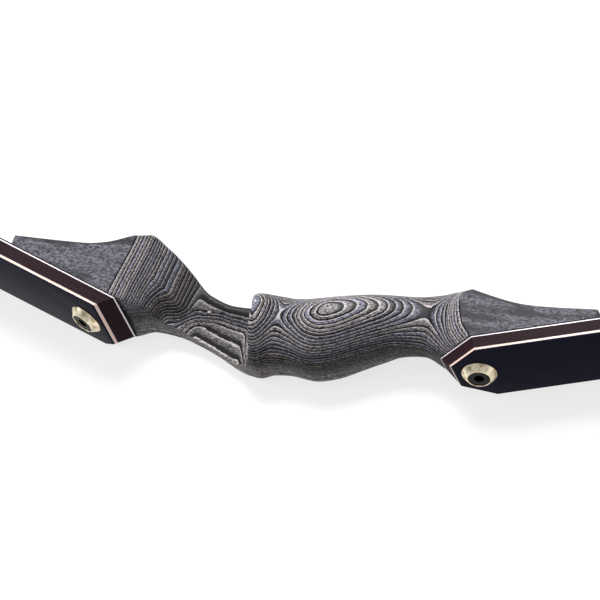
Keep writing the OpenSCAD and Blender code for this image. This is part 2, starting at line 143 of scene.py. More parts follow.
# %% [markdown]
# ## Floor
# The bow lies on a pale studio table. A floor that is only white paint would look grey, so it is light grey
# paint that glows as well, the way a lit sweep does, and that keeps its contact shadow faint.

# %% Floor
BLANK_HALF = 22.5           # half the thickness of the handle's wood, and of the limb butts, mm
FLOOR_SIDE = 60.0
scene = bpy.context.scene
scene.view_settings.view_transform = "Standard"

# Matt grey paint on a lit panel: the panel's glow is the emission.
floor_paint, tree, shader = new_material(
    "matt_white_studio_floor", Roughness=0.9, Base_Color=linear("#868686"), Specular_IOR_Level=0.1,
    Emission_Color=linear("#ffffff"), Emission_Strength=0.72)
floor_mesh = bpy.data.meshes.new("studio_floor")
reach = FLOOR_SIDE / 2
floor_z = -BLANK_HALF * MM
corners = [(reach * x, reach * y, floor_z) for x, y in ((-1, -1), (1, -1), (1, 1), (-1, 1))]
floor_mesh.from_pydata(corners, [], [(0, 1, 2, 3)])
floor_mesh.materials.append(floor_paint)
floor = bpy.data.objects.new("studio_floor", floor_mesh)
scene.collection.objects.link(floor)
print("floor at", round(floor_z, 4), "m, where the flat side of the blank lies")

# %% [markdown]
# ## Light
# One broad light hangs over the far side, behind the bow, a weaker one fills from the left, and an even sky
# keeps the shadows soft. The light from behind leaves the side towards the camera dark, as in the picture.

# %% Lights and sky
sky = bpy.data.worlds.new("soft_sky")
sky.use_nodes = True
sky.node_tree.nodes["Background"].inputs["Color"].default_value = linear("#fafafc")
sky.node_tree.nodes["Background"].inputs["Strength"].default_value = 0.6
scene.world = sky


def soft_light(name, place, side, watts):
    """A square area light aimed at the middle of the bow."""
    data = bpy.data.lights.new(name, "AREA")
    data.size = side
    data.energy = watts
    light = bpy.data.objects.new(name, data)
    light.location = place
    light.rotation_mode = "QUATERNION"
    light.rotation_quaternion = (-Vector(place)).to_track_quat("-Z", "Y")
    scene.collection.objects.link(light)
    return light


soft_light("key_softbox", (-0.5, 1.3, 1.7), 1.0, 85)
soft_light("left_fill", (-2.0, -0.4, 1.2), 1.0, 12)

# %% [markdown]
# ## Meshes from rows of points
# Most parts of this bow are rows of points joined by skins: sections along the handle, stations along a
# limb, rings round a washer. One function joins such rows. Everything is counted in millimetres here and
# turned into metres when the mesh is made.

# %% Points to meshes
def add_mesh(name, points, faces, place=None):
    """A new object from points in millimetres, put in place by a matrix that is also in millimetres."""
    points = np.asarray(points, float).reshape(-1, 3)
    if place is not None:
        place = np.array(place)
        points = points @ place[:3, :3].T + place[:3, 3]
        if np.linalg.det(place[:3, :3]) < 0:
            faces = [tuple(reversed(face)) for face in faces]
    mesh = bpy.data.meshes.new(name)
    mesh.from_pydata((points * MM).tolist(), [], faces)
    mesh.update()
    piece = bpy.data.objects.new(name, mesh)
    scene.collection.objects.link(piece)
    return piece


def skin(rows, ring):
    """Quads between rows of points, each row a closed ring of the same number of points."""
    steps = [(j, (j + 1) % ring) for j in range(ring)]
    return [(first + j, first + k, first + ring + k, first + ring + j)
            for first in range(0, (rows - 1) * ring, ring) for j, k in steps]


print("a skin over three rows of eight points has", len(skin(3, 8)), "faces")

# %% [markdown]
# ## Blocks for sawing and drilling
# Saw cuts and drilled holes are made by taking a block away from a piece. A block is a flat outline given a
# height, and the outline of a hole is a circle.

# %% Blocks
def block(outline, low, high, place=None, name="tool"):
    """A flat outline, given anticlockwise, made a block between two heights."""
    n = len(outline)
    points = [(x, y, z) for z in (low, high) for x, y in outline]
    faces = skin(2, n) + [tuple(reversed(range(n))), tuple(range(n, 2 * n))]
    return add_mesh(name, points, faces, place)


def circle(radius, sides=64, x=0.0, y=0.0):
    """Points of a circle, anticlockwise."""
    turn = [2 * math.pi * i / sides for i in range(sides)]
    return [(x + radius * math.cos(a), y + radius * math.sin(a)) for a in turn]


def rectangle(x0, x1, y0, y1):
    """Corners of a rectangle, anticlockwise."""
    return [(x0, y0), (x1, y0), (x1, y1), (x0, y1)]


trial = block(circle(1), 0, 1, name="trial")
print("a round block has", len(trial.data.polygons), "faces")
bpy.data.objects.remove(trial)

# %% [markdown]
# ## Cutting
# A modifier stays live until it is frozen into a plain mesh, and the pieces are frozen after each step, so
# that the next step starts from real faces. Cuts are boolean modifiers. The Manifold solver is quick and
# exact on closed meshes, which all of these are.

# %% Freeze and cut
def freeze(piece):
    """Replaces a piece's mesh by what its modifiers make of it."""
    scene.view_layers[0].update()
    shaped = piece.evaluated_get(bpy.context.evaluated_depsgraph_get())
    mesh = bpy.data.meshes.new_from_object(shaped)
    piece.modifiers.clear()
    piece.data = mesh
    return piece


def cut(piece, tool, operation="DIFFERENCE"):
    """Cuts the tool out of the piece, or keeps only what both share, and throws the tool away."""
    boolean = piece.modifiers.new("cut", "BOOLEAN")
    boolean.operation = operation
    boolean.solver = "MANIFOLD"
    boolean.object = tool
    freeze(piece)
    bpy.data.objects.remove(tool)
    return piece


def smooth(piece, degrees=35.0):
    """Smooth shading with crisp edges where faces meet at more than this angle."""
    piece.data.shade_smooth()
    piece.data.set_sharp_from_angle(angle=math.radians(degrees))
    return piece


trial = cut(block(circle(2), 0, 1, name="trial"), block(circle(1), -1, 2))
print("drilled through, it has", len(trial.data.polygons), "faces")
bpy.data.objects.remove(trial)

# %% [markdown]
# ## The handle's outlines
# A bowyer saws a handle to two outlines, one seen from the side and one from the front, and carves between
# them. The tables say how high the belly edge and the target edge run, and how wide the wood is on each
# side, at places along the bow in millimetres. A smooth line through them never overshoots its points, so
# a straight stretch in a table stays straight in the wood.

# %% Smooth lines
def smooth_line(table):
    """A line through points (x, value) that never overshoots them, as a function of x."""
    x, y = np.array(table, float).T
    step = np.diff(x)
    rise = np.diff(y) / step
    slope = np.concatenate([rise[:1], np.zeros(len(x) - 2), rise[-1:]])
    for i in range(1, len(x) - 1):
        a, b, l, r = rise[i - 1], rise[i], step[i - 1], step[i]
        if a * b > 0:
            slope[i] = 3 * (l + r) / ((2 * r + l) / a + (r + 2 * l) / b)

    def value(q):
        i = np.clip(np.searchsorted(x, q, "right") - 1, 0, len(step) - 1)
        u = (q - x[i]) / step[i]
        a, b, p, e = slope[i] * step[i], slope[i + 1] * step[i], y[i], y[i + 1]
        return p + u * (a + u * (3 * (e - p) - 2 * a - b + u * (2 * (p - e) + a + b)))
    return value


print("halfway up a smooth step:", smooth_line([(0, 0), (1, 0), (2, 1), (3, 1)])(np.array([1.5]))[0])

# %% [markdown]
# ## The limb pads
# Each limb sits on a flat pad that leans back from the grip, and its outer face lies one limb's thickness
# in front of the pad at the bolt. Both outlines of the handle are tied to the pads' planes, so that the
# wood behind a limb keeps its thickness.

# %% Pads
PAD_ANGLE = math.radians(18.3)
BOLT_X = 135.5              # from the middle of the bow to each limb bolt
BUTT_T = 12.3               # thickness of a limb at its bolt
REACH_UP, REACH_DOWN = 193.0, 207.0  # from the middle of the bow to the handle's ends


def pad_y(x):
    """Height of the limb pads' plane at x."""
    past_bolt = abs(x) - BOLT_X + BUTT_T * math.sin(PAD_ANGLE)
    return BUTT_T * math.cos(PAD_ANGLE) + past_bolt * math.tan(PAD_ANGLE)


print("pads at the tips of the handle", round(pad_y(REACH_UP), 1), round(pad_y(REACH_DOWN), 1), "mm")

# %% [markdown]
# ## The handle's tables
# Reading one table from left to right walks down the bow: the upper pad, the shoulder, the sight window
# cut past the middle so that the arrow flies straight, the shelf's lip at -23, the throat, the swell of
# the grip, the waist, the lower shoulder and the lower pad. These two tables hold the outlines seen from
# the side, as heights above the middle of the bow.

# %% Seen from the side
BELLY = smooth_line([
    (-193, pad_y(193) + 6), (-165, pad_y(165) + 16), (-143.5, 39.8), (-131.5, 42.3), (-119, 47.8),
    (-111.5, 52.2), (-106, 56), (-97, 53), (-86, 47), (-80, 43), (-64, 32), (-45, 27), (-25, 28), (-5, 33.5),
    (8, 34), (25, 36), (55, 43), (78, 46), (101, 51), (124.5, 44), (160, pad_y(160) + 18),
    (207, pad_y(207) + 6)])
TARGET = smooth_line([
    (-193, pad_y(193) - 5), (-149.5, pad_y(149.5) - 3), (-112.5, pad_y(112.5)), (-97, 9), (-80, 7.5),
    (-64, 3), (-48, -3), (-34, -9.5), (-22, -14), (-14, -15.5), (-6, -13), (6, -12), (22, -13.5),
    (36, -10), (50, -2.8), (62, 3.5), (75, 8.5), (92, 9.5), (112.5, pad_y(112.5) - 1.5),
    (149.5, pad_y(149.5) - 4), (207, pad_y(207) - 5)])
for part, x in (("window", -64.0), ("throat", 0.0), ("swell", 27.0), ("waist", 75.0)):
    at_x = np.array([x])
    print(part, "is", round((BELLY(at_x) - TARGET(at_x))[0], 1), "mm deep")

# %% [markdown]
# ## Seen from the front
# On the arrow side the belly edge and the target edge differ: the window is cut deeper at the target edge,
# and the lower shoulder narrows there first. The far side is the same at both edges, and plainer. A width
# beyond half the blank means that the saw never reached the flat side there. The last table is the height
# at which the near side's curve meets the far side's.

# %% Seen from the front
NEAR_BELLY = smooth_line([
    (-193, 40.5), (-123.5, 28), (-113.7, 22.5), (-107.6, 17.7), (-102.8, 12.9), (-99.8, 10), (-92, 5.6),
    (-86, 3), (-79, -1), (-70, -4), (-27, -4), (-25.5, -2), (-23, 18.6), (-20, 20.1), (-4, 12), (6, 14.5),
    (20, 19.5), (31, 21.5), (60, 17.25), (91, 11), (106, 17), (113, 22.5), (119, 25), (130.5, 30.5),
    (207, 40.5)])
NEAR_TARGET = smooth_line([
    (-193, 40.5), (-123.5, 25), (-113, 20.5), (-105, 13), (-100, 7), (-95, 2), (-90, -4), (-86, -7),
    (-77, -8), (-29, -8), (-23, -5), (-19.5, 16), (-16, 17), (-4, 12), (6, 14.5), (20, 19.5), (31, 21.5),
    (60, 17.25), (91, 11), (106, 12.5), (119, 18.2), (133, 22.5), (145, 28), (207, 40.5)])
FAR = smooth_line([
    (-193, 40.5), (-123.5, 28.5), (-112, 22.5), (-85, 20.5), (-50, 20), (-22, 19.5), (27, 20), (60, 16.75),
    (91, 11), (106, 15.5), (118, 22.5), (130.5, 30.5), (207, 40.5)])
MIDDLE = smooth_line([
    (-193, 0), (-112, 0), (-90, -10), (-70, -12), (-35, -13), (-18, -4), (0, -2), (60, -2), (91, 0),
    (207, 0)])
at_swell = np.array([31.0])
print("swell is", round((NEAR_BELLY(at_swell) + FAR(at_swell))[0], 1), "mm wide")

# %% [markdown]
# ## How round each corner is
# Four corners run the length of the handle. Each has a rounding that grows where the hand goes and shrinks
# to almost nothing at the pads, where the wood is left as sawn. It is kept as two shares: of the half
# height, and of the width beside it. The corner between the arrow side and the target side is slacker than
# round in the grip, where the fingers close over it.

# %% Roundings
NEAR_BELLY_R = smooth_line([(-193, .08), (-120, .08), (-90, .1), (-70, .2), (-30, .3), (-20, .6), (0, .9),
                            (30, .95), (91, .9), (112, .6), (125, .2), (207, .08)])
NEAR_BELLY_W = smooth_line([(-193, .06), (-120, .08), (-90, .1), (-70, .2), (-30, .3), (-20, .6), (0, .95),
                            (30, .97), (91, .9), (112, .5), (125, .1), (207, .06)])
NEAR_TARGET_R = smooth_line([(-193, .05), (-116, .05), (-104, .12), (-60, .12), (-30, .15), (-22, .97),
                             (112, .97), (128, .6), (134, .05), (207, .05)])
NEAR_TARGET_W = smooth_line([(-193, .03), (-116, .05), (-104, .15), (-60, .2), (-30, .3), (-20, .9),
                             (0, .97), (91, .97), (112, .9), (128, .3), (134, .03), (207, .03)])
SLACK = smooth_line([(-193, 1), (-40, 1), (-15, 1.3), (10, 1.45), (40, 1.4), (91, 1.15), (112, 1), (207, 1)])
FAR_R = smooth_line([(-193, .05), (-116, .05), (-90, .2), (-30, .2), (0, .4), (30, .4), (91, .5), (112, .7),
                     (131, .1), (207, .05)])
FAR_W = smooth_line([(-193, .03), (-116, .05), (-90, .2), (-30, .2), (0, .45), (30, .5), (91, .6), (112, .6),
                     (131, .05), (207, .03)])
print("rounding of the belly corner at the swell", round(NEAR_BELLY_R(at_swell)[0], 2), "of the half height")

# %% [markdown]
# ## The window's step, the crest and the lip
# The step between belly and target widths has a place and a run, both as shares of the height. The crest of
# the grip leans a little towards the belly. The skew leans the shelf's lip over, so that its crease sweeps
# down the bow towards the target edge, and the scoop slopes the floor of the window, and so draws a few
# lines along it.

# %% Step, crest, skew and scoop
LEAN_TO_BELLY = smooth_line([(-193, 0), (-23, 0), (-10, .1), (31, .16), (70, .08), (100, 0), (207, 0)])
STEP_AT = smooth_line([(-193, .5), (-110, .5), (-95, .24), (-80, .2), (-71, .33), (-65, .46), (-50, .68),
                       (-30, .68), (-20, .5), (207, .5)])
STEP_RUN = smooth_line([(-193, 1), (-110, 1), (-95, .45), (-50, .28), (-30, .28), (-20, 1), (207, 1)])
SKEW = smooth_line([(-193, 0), (-45, 0), (-26, 8), (-12, 5), (5, 0), (207, 0)])
SKEW_POWER = 4              # keeps the lean near the target edge
SCOOP = smooth_line([(-193, 0), (-82, 0), (-66, 4.5), (-36, 4.5), (-26, 0), (207, 0)])
print("the lip leans", SKEW(np.array([-26.0]))[0], "mm, the floor slopes", SCOOP(np.array([-50.0]))[0], "mm")

# %% [markdown]
# ## A quarter of a section
# A section is four quarters, one to each corner, and each is the same curve with other shares: straight up
# the edge, round the corner and straight along the side. It is worked out for all the sections at once.

# %% Quarter
def quarter(r, w, slack=1.0, corner=22, flat=5):
    """A quarter of each section in a unit square, from the edge (1, 0) to the side (0, 1)."""
    a = np.linspace(0, math.pi / 2, corner)[None]
    run = np.linspace(0, 1, flat, endpoint=False)[None]
    one = np.ones((len(r), flat))
    height = np.hstack([one, 1 - r + r * np.cos(a).clip(0) ** slack, (1 - r) * (1 - run - 1 / flat)])
    width = np.hstack([run * (1 - w), 1 - w + w * np.sin(a) ** slack, one])
    return height, width


print("a quarter has", quarter(np.ones((1, 1)), np.ones((1, 1)))[0].shape[1], "points")

# %% [markdown]
# ## Sections along the handle
# Each section is a ring of points: the belly corner and the target corner on the arrow side, then the same
# two on the far side. The rings lie less than a millimetre apart, and closer still at the shelf, where the
# wood drops from the window to the grip within three millimetres.

# %% Stations and corners
SHELF_FROM, SHELF_TO = -28, -15
stations = np.unique(np.concatenate([
    np.arange(-REACH_UP, SHELF_FROM, 0.8), np.arange(SHELF_FROM, SHELF_TO, 0.25),
    np.arange(SHELF_TO, REACH_DOWN, 0.8), [REACH_DOWN]]))


def lengthways(line):
    """A line's values at all the stations, as a column."""
    return line(stations)[:, None]


top, low, mid = lengthways(BELLY), lengthways(TARGET), lengthways(MIDDLE)
centre, half_height = (top + low) / 2, (top - low) / 2
near_b, near_t, far = lengthways(NEAR_BELLY), lengthways(NEAR_TARGET), lengthways(FAR)
corner_a = quarter(lengthways(NEAR_BELLY_R), lengthways(NEAR_BELLY_W))
corner_b = quarter(lengthways(NEAR_TARGET_R), lengthways(NEAR_TARGET_W), lengthways(SLACK))
corner_c = quarter(lengthways(FAR_R), lengthways(FAR_W))
crest = lengthways(LEAN_TO_BELLY)
near_height = np.hstack([crest + (1 - crest) * corner_a[0], crest - (1 + crest) * corner_b[0][:, -2::-1]])
near_width = np.hstack([corner_a[1], corner_b[1][:, -2::-1]])
far_height = np.hstack([-corner_c[0][:, 1:], corner_c[0][:, -2:0:-1]])
far_width = np.hstack([corner_c[1][:, 1:], corner_c[1][:, -2:0:-1]])
print("sections", len(stations), "with", near_height.shape[1], "points on the arrow side")

# %% [markdown]
# ## Loft
# The shares now become millimetres, and one skin joins all the rings. The sections are left wider than the
# blank at both ends on purpose, because the flat sides are cut next.

# %% Loft
share = (((near_height + 1) / 2 - lengthways(STEP_AT)) / lengthways(STEP_RUN) + 0.5).clip(0, 1)
to_target = (1 - near_height) / 2  # 0 at the belly edge, 1 at the target edge
side = near_t + (near_b - near_t) * share * share * (3 - 2 * share) - lengthways(SCOOP) * to_target
height = np.hstack([centre + half_height * near_height, centre + half_height * far_height])
width = np.hstack([mid + near_width * (side - mid), mid - far_width * (mid + far)])
ring = height.shape[1]
along = np.repeat(stations[:, None], ring, 1)
along[:, :near_width.shape[1]] += lengthways(SKEW) * to_target ** SKEW_POWER * near_width
points = np.stack([along, height, width], 2)
ends = [tuple(reversed(range(ring))), tuple(range((len(stations) - 1) * ring, len(stations) * ring))]
riser = add_mesh("riser_sculpted", points, skin(len(stations), ring) + ends)
print("handle loft", len(riser.data.polygons), "faces, rings of", ring, "points")

# %% [markdown]
# ## Flat sides, pads and bores
# The blank's two flat sides and the limb pads are planes, so they are cut as planes: what lies beyond the
# blank's thickness goes first, then the two pads that the limbs sit on, then the bores for the threaded
# inserts and locating pins.

# %% Cut the handle
SEAT_GAP = 0.02             # under each limb
END_GAP = 0.2               # at the bottom of a hole
BORE_EASE = 0.005           # a bore in the wood is this much wider than what sits in it
INSERT_L, INSERT_R, FLANGE_R, FLANGE_T = 18.0, 6.0, 7.5, 1.5
PIN_S, PIN_R, PIN_IN, PIN_OUT = 32.0, 2.5, 8.0, 6.0
AROUND_HANDLE = rectangle(-250, 250, -60, 110)
OVER_PAD, OVER_PAD_H = rectangle(-50, 140, -60, 60), 80


def at_bolt(side):
    """Matrix to a limb's bolt: X along the limb, Z out of its outer face. side is 1 below and -1 above."""
    c, s = math.cos(PAD_ANGLE), math.sin(PAD_ANGLE)
    return ((side * c, 0, side * s, side * BOLT_X), (s, 0, -c, 0), (0, 1, 0, 0), (0, 0, 0, 1))


cut(riser, block(AROUND_HANDLE, -BLANK_HALF, BLANK_HALF), "INTERSECT")
pad = -BUTT_T - SEAT_GAP
bores = [(INSERT_R, pad - INSERT_L - END_GAP, 0.0), (FLANGE_R, pad - FLANGE_T - BORE_EASE, 0.0),
         (PIN_R, -BUTT_T - PIN_IN - BORE_EASE, PIN_S)]
for side_of in (-1, 1):
    place = at_bolt(side_of)
    cut(riser, block(OVER_PAD, pad, OVER_PAD_H, place))
    for radius, bottom, x in bores:
        cut(riser, block(circle(radius + BORE_EASE, x=x), bottom, pad + 1, place))
print("handle", len(riser.data.polygons), "faces, box", [round(v * 1000) for v in riser.dimensions])

# %% [markdown]
# ## Crisp edges
# Carving runs out into the flat sides at a very low angle in places, and an angle limit alone would smooth
# the edge away there. On the real one it stays crisp, so every edge between a flat side and a carved face
# is marked sharp.

# %% Mark the crisp edges
smooth(riser)


def on_flat_side(polygon):
    """Whether a face lies in one of the blank's two flat sides."""
    return abs(polygon.normal.z) > 0.99999 and abs(abs(polygon.center.z) - BLANK_HALF * MM) < 1e-6


flat_beside = {}
for polygon in riser.data.polygons:
    is_flat = on_flat_side(polygon)
    for key in polygon.edge_keys:
        flat_beside.setdefault(key, set()).add(is_flat)
for edge in riser.data.edges:
    if len(flat_beside[tuple(sorted(edge.vertices))]) == 2:
        edge.use_edge_sharp = True
print("edges round the flat sides", sum(len(found) == 2 for found in flat_beside.values()))

# %% [markdown]
# ## Dyed laminated wood
# The handle is birch veneer, dyed in charcoals, stacked and pressed with black resin, then carved and
# oiled. The veneers lie flat, one above the other in Z, so carving cuts them as contour lines on a map:
# rings on the swell of the grip, tight lines on steep slopes. So the material counts veneers by height,
# and everything else follows from the shape. Only the flat sides are different: they are sanded along one
# veneer and show its face, so the lines stop there.

# %% Counting veneers
VENEERS = 37
VENEER_MM = 2 * BLANK_HALF / VENEERS


def in_mm(tree, stretch=(1, 1, 1), source=None):
    """The place on the object in millimetres, divided by stretch in each direction."""
    place = source or add_node(tree, "ShaderNodeTexCoord", out="Object")
    return add_node(tree, "ShaderNodeVectorMath", {0: place, 1: [1000 / s for s in stretch]},
                    operation="MULTIPLY")


# Rotary-cut birch, dyed through and oiled: low gloss, open grain along the bow, black glue lines.
wood, tree, shader = new_material("dyed_laminated_birch", Roughness=0.46, Specular_IOR_Level=0.1)
height_mm = add_node(tree, "ShaderNodeSeparateXYZ", {0: in_mm(tree)}, out=2)
above = add_node(tree, "ShaderNodeMath", {0: height_mm}, operation="ABSOLUTE")
on_flat = add_node(tree, "ShaderNodeMapRange", {"Value": above, "From Min": BLANK_HALF - 0.4,
                   "From Max": BLANK_HALF - 0.05})
sag = add_node(tree, "ShaderNodeTexNoise", {"Vector": in_mm(tree, (40, 30, 30)), "Scale": 1.0, "Detail": 1.0})
ripple = add_node(tree, "ShaderNodeTexNoise", {"Vector": in_mm(tree, (7, 1.8, 1.8)), "Scale": 1.0,
                  "Detail": 2.0})
level = add_node(tree, "ShaderNodeMath", {0: sag, 1: 0.4, 2: height_mm}, operation="MULTIPLY_ADD")
level = add_node(tree, "ShaderNodeMath", {0: ripple, 1: 0.3, 2: level}, operation="MULTIPLY_ADD")
level = add_node(tree, "ShaderNodeMath", {0: level, 1: 0.25}, operation="SUBTRACT")
count = add_node(tree, "ShaderNodeMath", {0: level, 1: VENEER_MM}, operation="DIVIDE")
index = add_node(tree, "ShaderNodeMath", {0: count}, operation="FLOOR")
through = add_node(tree, "ShaderNodeMath", {0: count}, operation="FRACT")
print(VENEERS, "veneers in the blank, each", round(VENEER_MM, 2), "mm thick")

# %% [markdown]
# ## Colour of one veneer
# Each veneer takes up the dye in its own way, so two random numbers per veneer choose its tint, from blue
# to brown, and its brightness. The wood is also painted darker towards the middle of the blank's thickness,
# a painted shade for the deep carved faces that lie away from the light. The pores break the colour into
# short specks along the grain. The numbers come from a noise of the veneer's own number, so all of one
# veneer shares them.

# %% Dyeing the veneers
tone = add_node(tree, "ShaderNodeTexWhiteNoise", {"W": index}, out="Value", noise_dimensions="1D")
other = add_node(tree, "ShaderNodeMath", {0: index, 1: 0.37}, operation="ADD")
other = add_node(tree, "ShaderNodeTexWhiteNoise", {"W": other}, out="Value", noise_dimensions="1D")
pores = add_node(tree, "ShaderNodeTexNoise", {"Vector": in_mm(tree, (2.0, 0.85, 0.85)), "Scale": 1.0,
                 "Detail": 1.0})
specks = add_node(tree, "ShaderNodeMapRange", {"Value": pores, "From Min": 0.34, "From Max": 0.66,
                  "To Min": 0.2, "To Max": 1.8})
bright = add_node(tree, "ShaderNodeMapRange", {"Value": tone, "To Min": 0.32, "To Max": 0.84})
bright = add_node(tree, "ShaderNodeMath", {0: bright, 1: specks}, operation="MULTIPLY")
# Painted shade: darker towards the middle of the blank's thickness, on the deep carved faces away from the
# light.
painted_depth_shade = add_node(tree, "ShaderNodeMapRange", {"Value": above, "From Min": 2.0, "From Max": 17.0, "To Min": 0.3})
bright = add_node(tree, "ShaderNodeMath", {0: bright, 1: painted_depth_shade}, operation="MULTIPLY")
tint = add_node(tree, "ShaderNodeMix", {"Factor": other, "A": linear("#6a6b80"), "B": linear("#8c8580")},
                out="Result", data_type="RGBA")
body = add_node(tree, "ShaderNodeVectorMath", {0: tint, "Scale": bright}, operation="SCALE")
print("dyed wood", len(tree.nodes), "nodes so far")

# %% [markdown]
# ## Glue lines
# Where two veneers meet lies a black glue line, whose resin darkens the wood above it, and a pale painted
# highlight runs along the edge below it, where the light would catch it. Fibres half a millimetre thick make
# both of them ragged. How wide the resin has spread differs from veneer to veneer, so it follows the same
# random number as the brightness.

# %% Glue lines
fibre = add_node(tree, "ShaderNodeTexNoise", {"Vector": in_mm(tree, (2.6, 0.5, 0.5)), "Scale": 1.0,
                 "Detail": 2.0, "Roughness": 0.65})
ragged = add_node(tree, "ShaderNodeMath", {0: fibre, 1: 0.28, 2: through}, operation="MULTIPLY_ADD")
# Painted highlight: a pale streak along the edge below each glue line, dimmed with the painted depth shade
# and left off the flat sides.
painted_rim_highlight = add_node(tree, "ShaderNodeMapRange", {"Value": ragged, "From Min": 0.9, "From Max": 1.08})
painted_rim_highlight = add_node(tree, "ShaderNodeMath", {0: painted_rim_highlight, 1: pores}, operation="MULTIPLY")
painted_rim_highlight = add_node(tree, "ShaderNodeMath", {0: painted_rim_highlight, 1: painted_depth_shade}, operation="MULTIPLY")
painted_rim_highlight = add_node(tree, "ShaderNodeMapRange", {"Value": on_flat, "To Min": painted_rim_highlight, "To Max": 0.0})
body = add_node(tree, "ShaderNodeMix", {"Factor": painted_rim_highlight, "A": body, "B": linear("#dcd4d2")},
                out="Result", data_type="RGBA")
glue_share = add_node(tree, "ShaderNodeMapRange", {"Value": tone, "To Min": 0.46, "To Max": 0.3})
clear = add_node(tree, "ShaderNodeMath", {0: ragged, 1: glue_share}, operation="SUBTRACT")
clear = add_node(tree, "ShaderNodeMapRange", {"Value": clear, "From Min": 0.0, "From Max": 0.28},
                 interpolation_type="SMOOTHSTEP")
print("glue lines", len(tree.nodes), "nodes so far")

# %% [markdown]
# ## Flat sides and flecks
# On the flat sides the black resin has soaked through in long soft patches instead of lines. A few chips of
# paler wood are pressed in between the veneers and show as light flecks. The pores give the oiled surface
# its slight relief.

# %% Flat sides, flecks and relief
worn = add_node(tree, "ShaderNodeTexNoise", {"Vector": in_mm(tree, (55, 9, 9)), "Scale": 1.0, "Detail": 4.0,
                "Distortion": 0.4})
worn = add_node(tree, "ShaderNodeMapRange", {"Value": worn, "From Min": 0.36, "From Max": 0.58, "To Min": 0.2,
                "To Max": 1.3}, interpolation_type="SMOOTHSTEP")
clear = add_node(tree, "ShaderNodeMapRange", {"Value": on_flat, "To Min": clear, "To Max": worn})
colour = add_node(tree, "ShaderNodeMix", {"Factor": clear, "A": linear("#0c0c11"), "B": body}, out="Result",
                  data_type="RGBA")
fleck = add_node(tree, "ShaderNodeTexNoise", {"Vector": in_mm(tree, (3.8, 2.4, 2.4)), "Scale": 1.0,
                 "Detail": 0.0})
fleck = add_node(tree, "ShaderNodeMapRange", {"Value": fleck, "From Min": 0.85, "From Max": 0.9,
                 "To Max": 0.8})
colour = add_node(tree, "ShaderNodeMix", {"Factor": fleck, "A": colour, "B": linear("#d9c9b6")}, out="Result",
                  data_type="RGBA")
tree.links.new(colour, shader.inputs["Base Color"])
bump = add_node(tree, "ShaderNodeBump", {"Strength": 0.3, "Distance": 0.0001, "Height": pores})
tree.links.new(bump, shader.inputs["Normal"])
riser.data.materials.clear()
riser.data.materials.append(wood)
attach(riser, "riser")
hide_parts("riser")
print("wood", len(tree.nodes), "nodes")

# %% [markdown]
# ## The limbs' layers
# A limb is a sandwich: black glass on both faces, a cream veneer, a wooden core that fades from eight
# millimetres to three, and a white veneer. It is pressed in a curved form, but it is far easier to cut a
# straight strip. So each limb is built flat, with s along it from its bolt, and bent at the end.

# %% Limb measures
NOCK_S, TIP_PAST, TIP_STRAIGHT = 628.0, 16.0, 46.0
TIP_S = NOCK_S + TIP_PAST
CURL_S = TIP_S - TIP_STRAIGHT
STRAIGHT_S, RECURVE_S = 110.0, 430.0
WORK_BEND, RECURVE_BEND = math.radians(22), math.radians(58)
OVERLAY_L, OVERLAY_T = 84.0, 2.5
OVERLAY_START = TIP_S - OVERLAY_L
print("string groove at", NOCK_S, "tip at", TIP_S, "overlay from", OVERLAY_START)

# %% [markdown]
# ## How thick and how wide
# The core is thick under the bolt, so that the butt doesn't bend, and fades in a smooth curve to the thin
# working limb. The width keeps the blank's full 45 mm a little past the handle and then narrows to the
# grooves. Both are functions of s, and so are the depths where one layer ends and the next begins.

# %% Layer depths and widths
GLASS_T, CREAM_T, CORE_T, WHITE_T = 0.9, 1.5, 8.3, 0.7
FADE_FROM, FADE_TO, FADED_T, CORE_TIP_T = 95, 200, 3, 2.2
TAPER_FROM, TAPER_TO = 170, NOCK_S - 12
NOCK_HALF, TIP_NARROWER = 8.5, 3


def share_of(s, a, b):
    """How far s has come from a to b, from 0 to 1."""
    return min(1.0, max(0.0, (s - a) / (b - a)))


def core_at(s):
    """Thickness of the core at s."""
    u = share_of(s, FADE_FROM, FADE_TO)
    faded = CORE_T + (FADED_T - CORE_T) * u * u * (3 - 2 * u)
    return faded + (CORE_TIP_T - FADED_T) * share_of(s, FADE_TO, TIP_S)


def width_at(s):
    """Half the limb's width at s."""
    u = share_of(s, TAPER_FROM, TAPER_TO)
    blend = 0.35 * u + 0.65 * u * u * (3 - 2 * u)
    return BLANK_HALF + (NOCK_HALF - BLANK_HALF) * blend - TIP_NARROWER * share_of(s, TAPER_TO, TIP_S)


def depths(s):
    """Depths under the outer face where the layers part, from the outer glass to the belly face."""
    under_core = GLASS_T + CREAM_T + core_at(s)
    return [0.0, GLASS_T, GLASS_T + CREAM_T, under_core, under_core + WHITE_T, under_core + WHITE_T + GLASS_T]


def overlay_at(s):
    """Thickness of the tip overlay at s, a wedge that starts thin."""
    return OVERLAY_T * share_of(s, OVERLAY_START - 4, CURL_S) if s >= OVERLAY_START else 0.0


print("limb", [round(depths(s)[5], 1) for s in (0, 150, 300, 600)], "mm thick at 0, 150, 300 and 600 mm")

# %% [markdown]
# ## A straight blank, cut and eased
# All the layers are sanded together, so they share one outline and one eased edge. The whole stack is
# made first as one closed strip, cut at the butt and the string grooves, and bevelled once. Each layer is
# then what a slab between its two depths shares with that strip, which carries the bevel across them all.

# %% Strips and saw cuts
places = [-32.0, 60.0, 90.0, *np.arange(95, 430, 5.0), *np.arange(430, 556, 4.0), OVERLAY_START - 0.01,
          OVERLAY_START, *np.arange(564, CURL_S, 4.0), CURL_S, 610.0, 616.0, 622.0, 634.0, TIP_S]


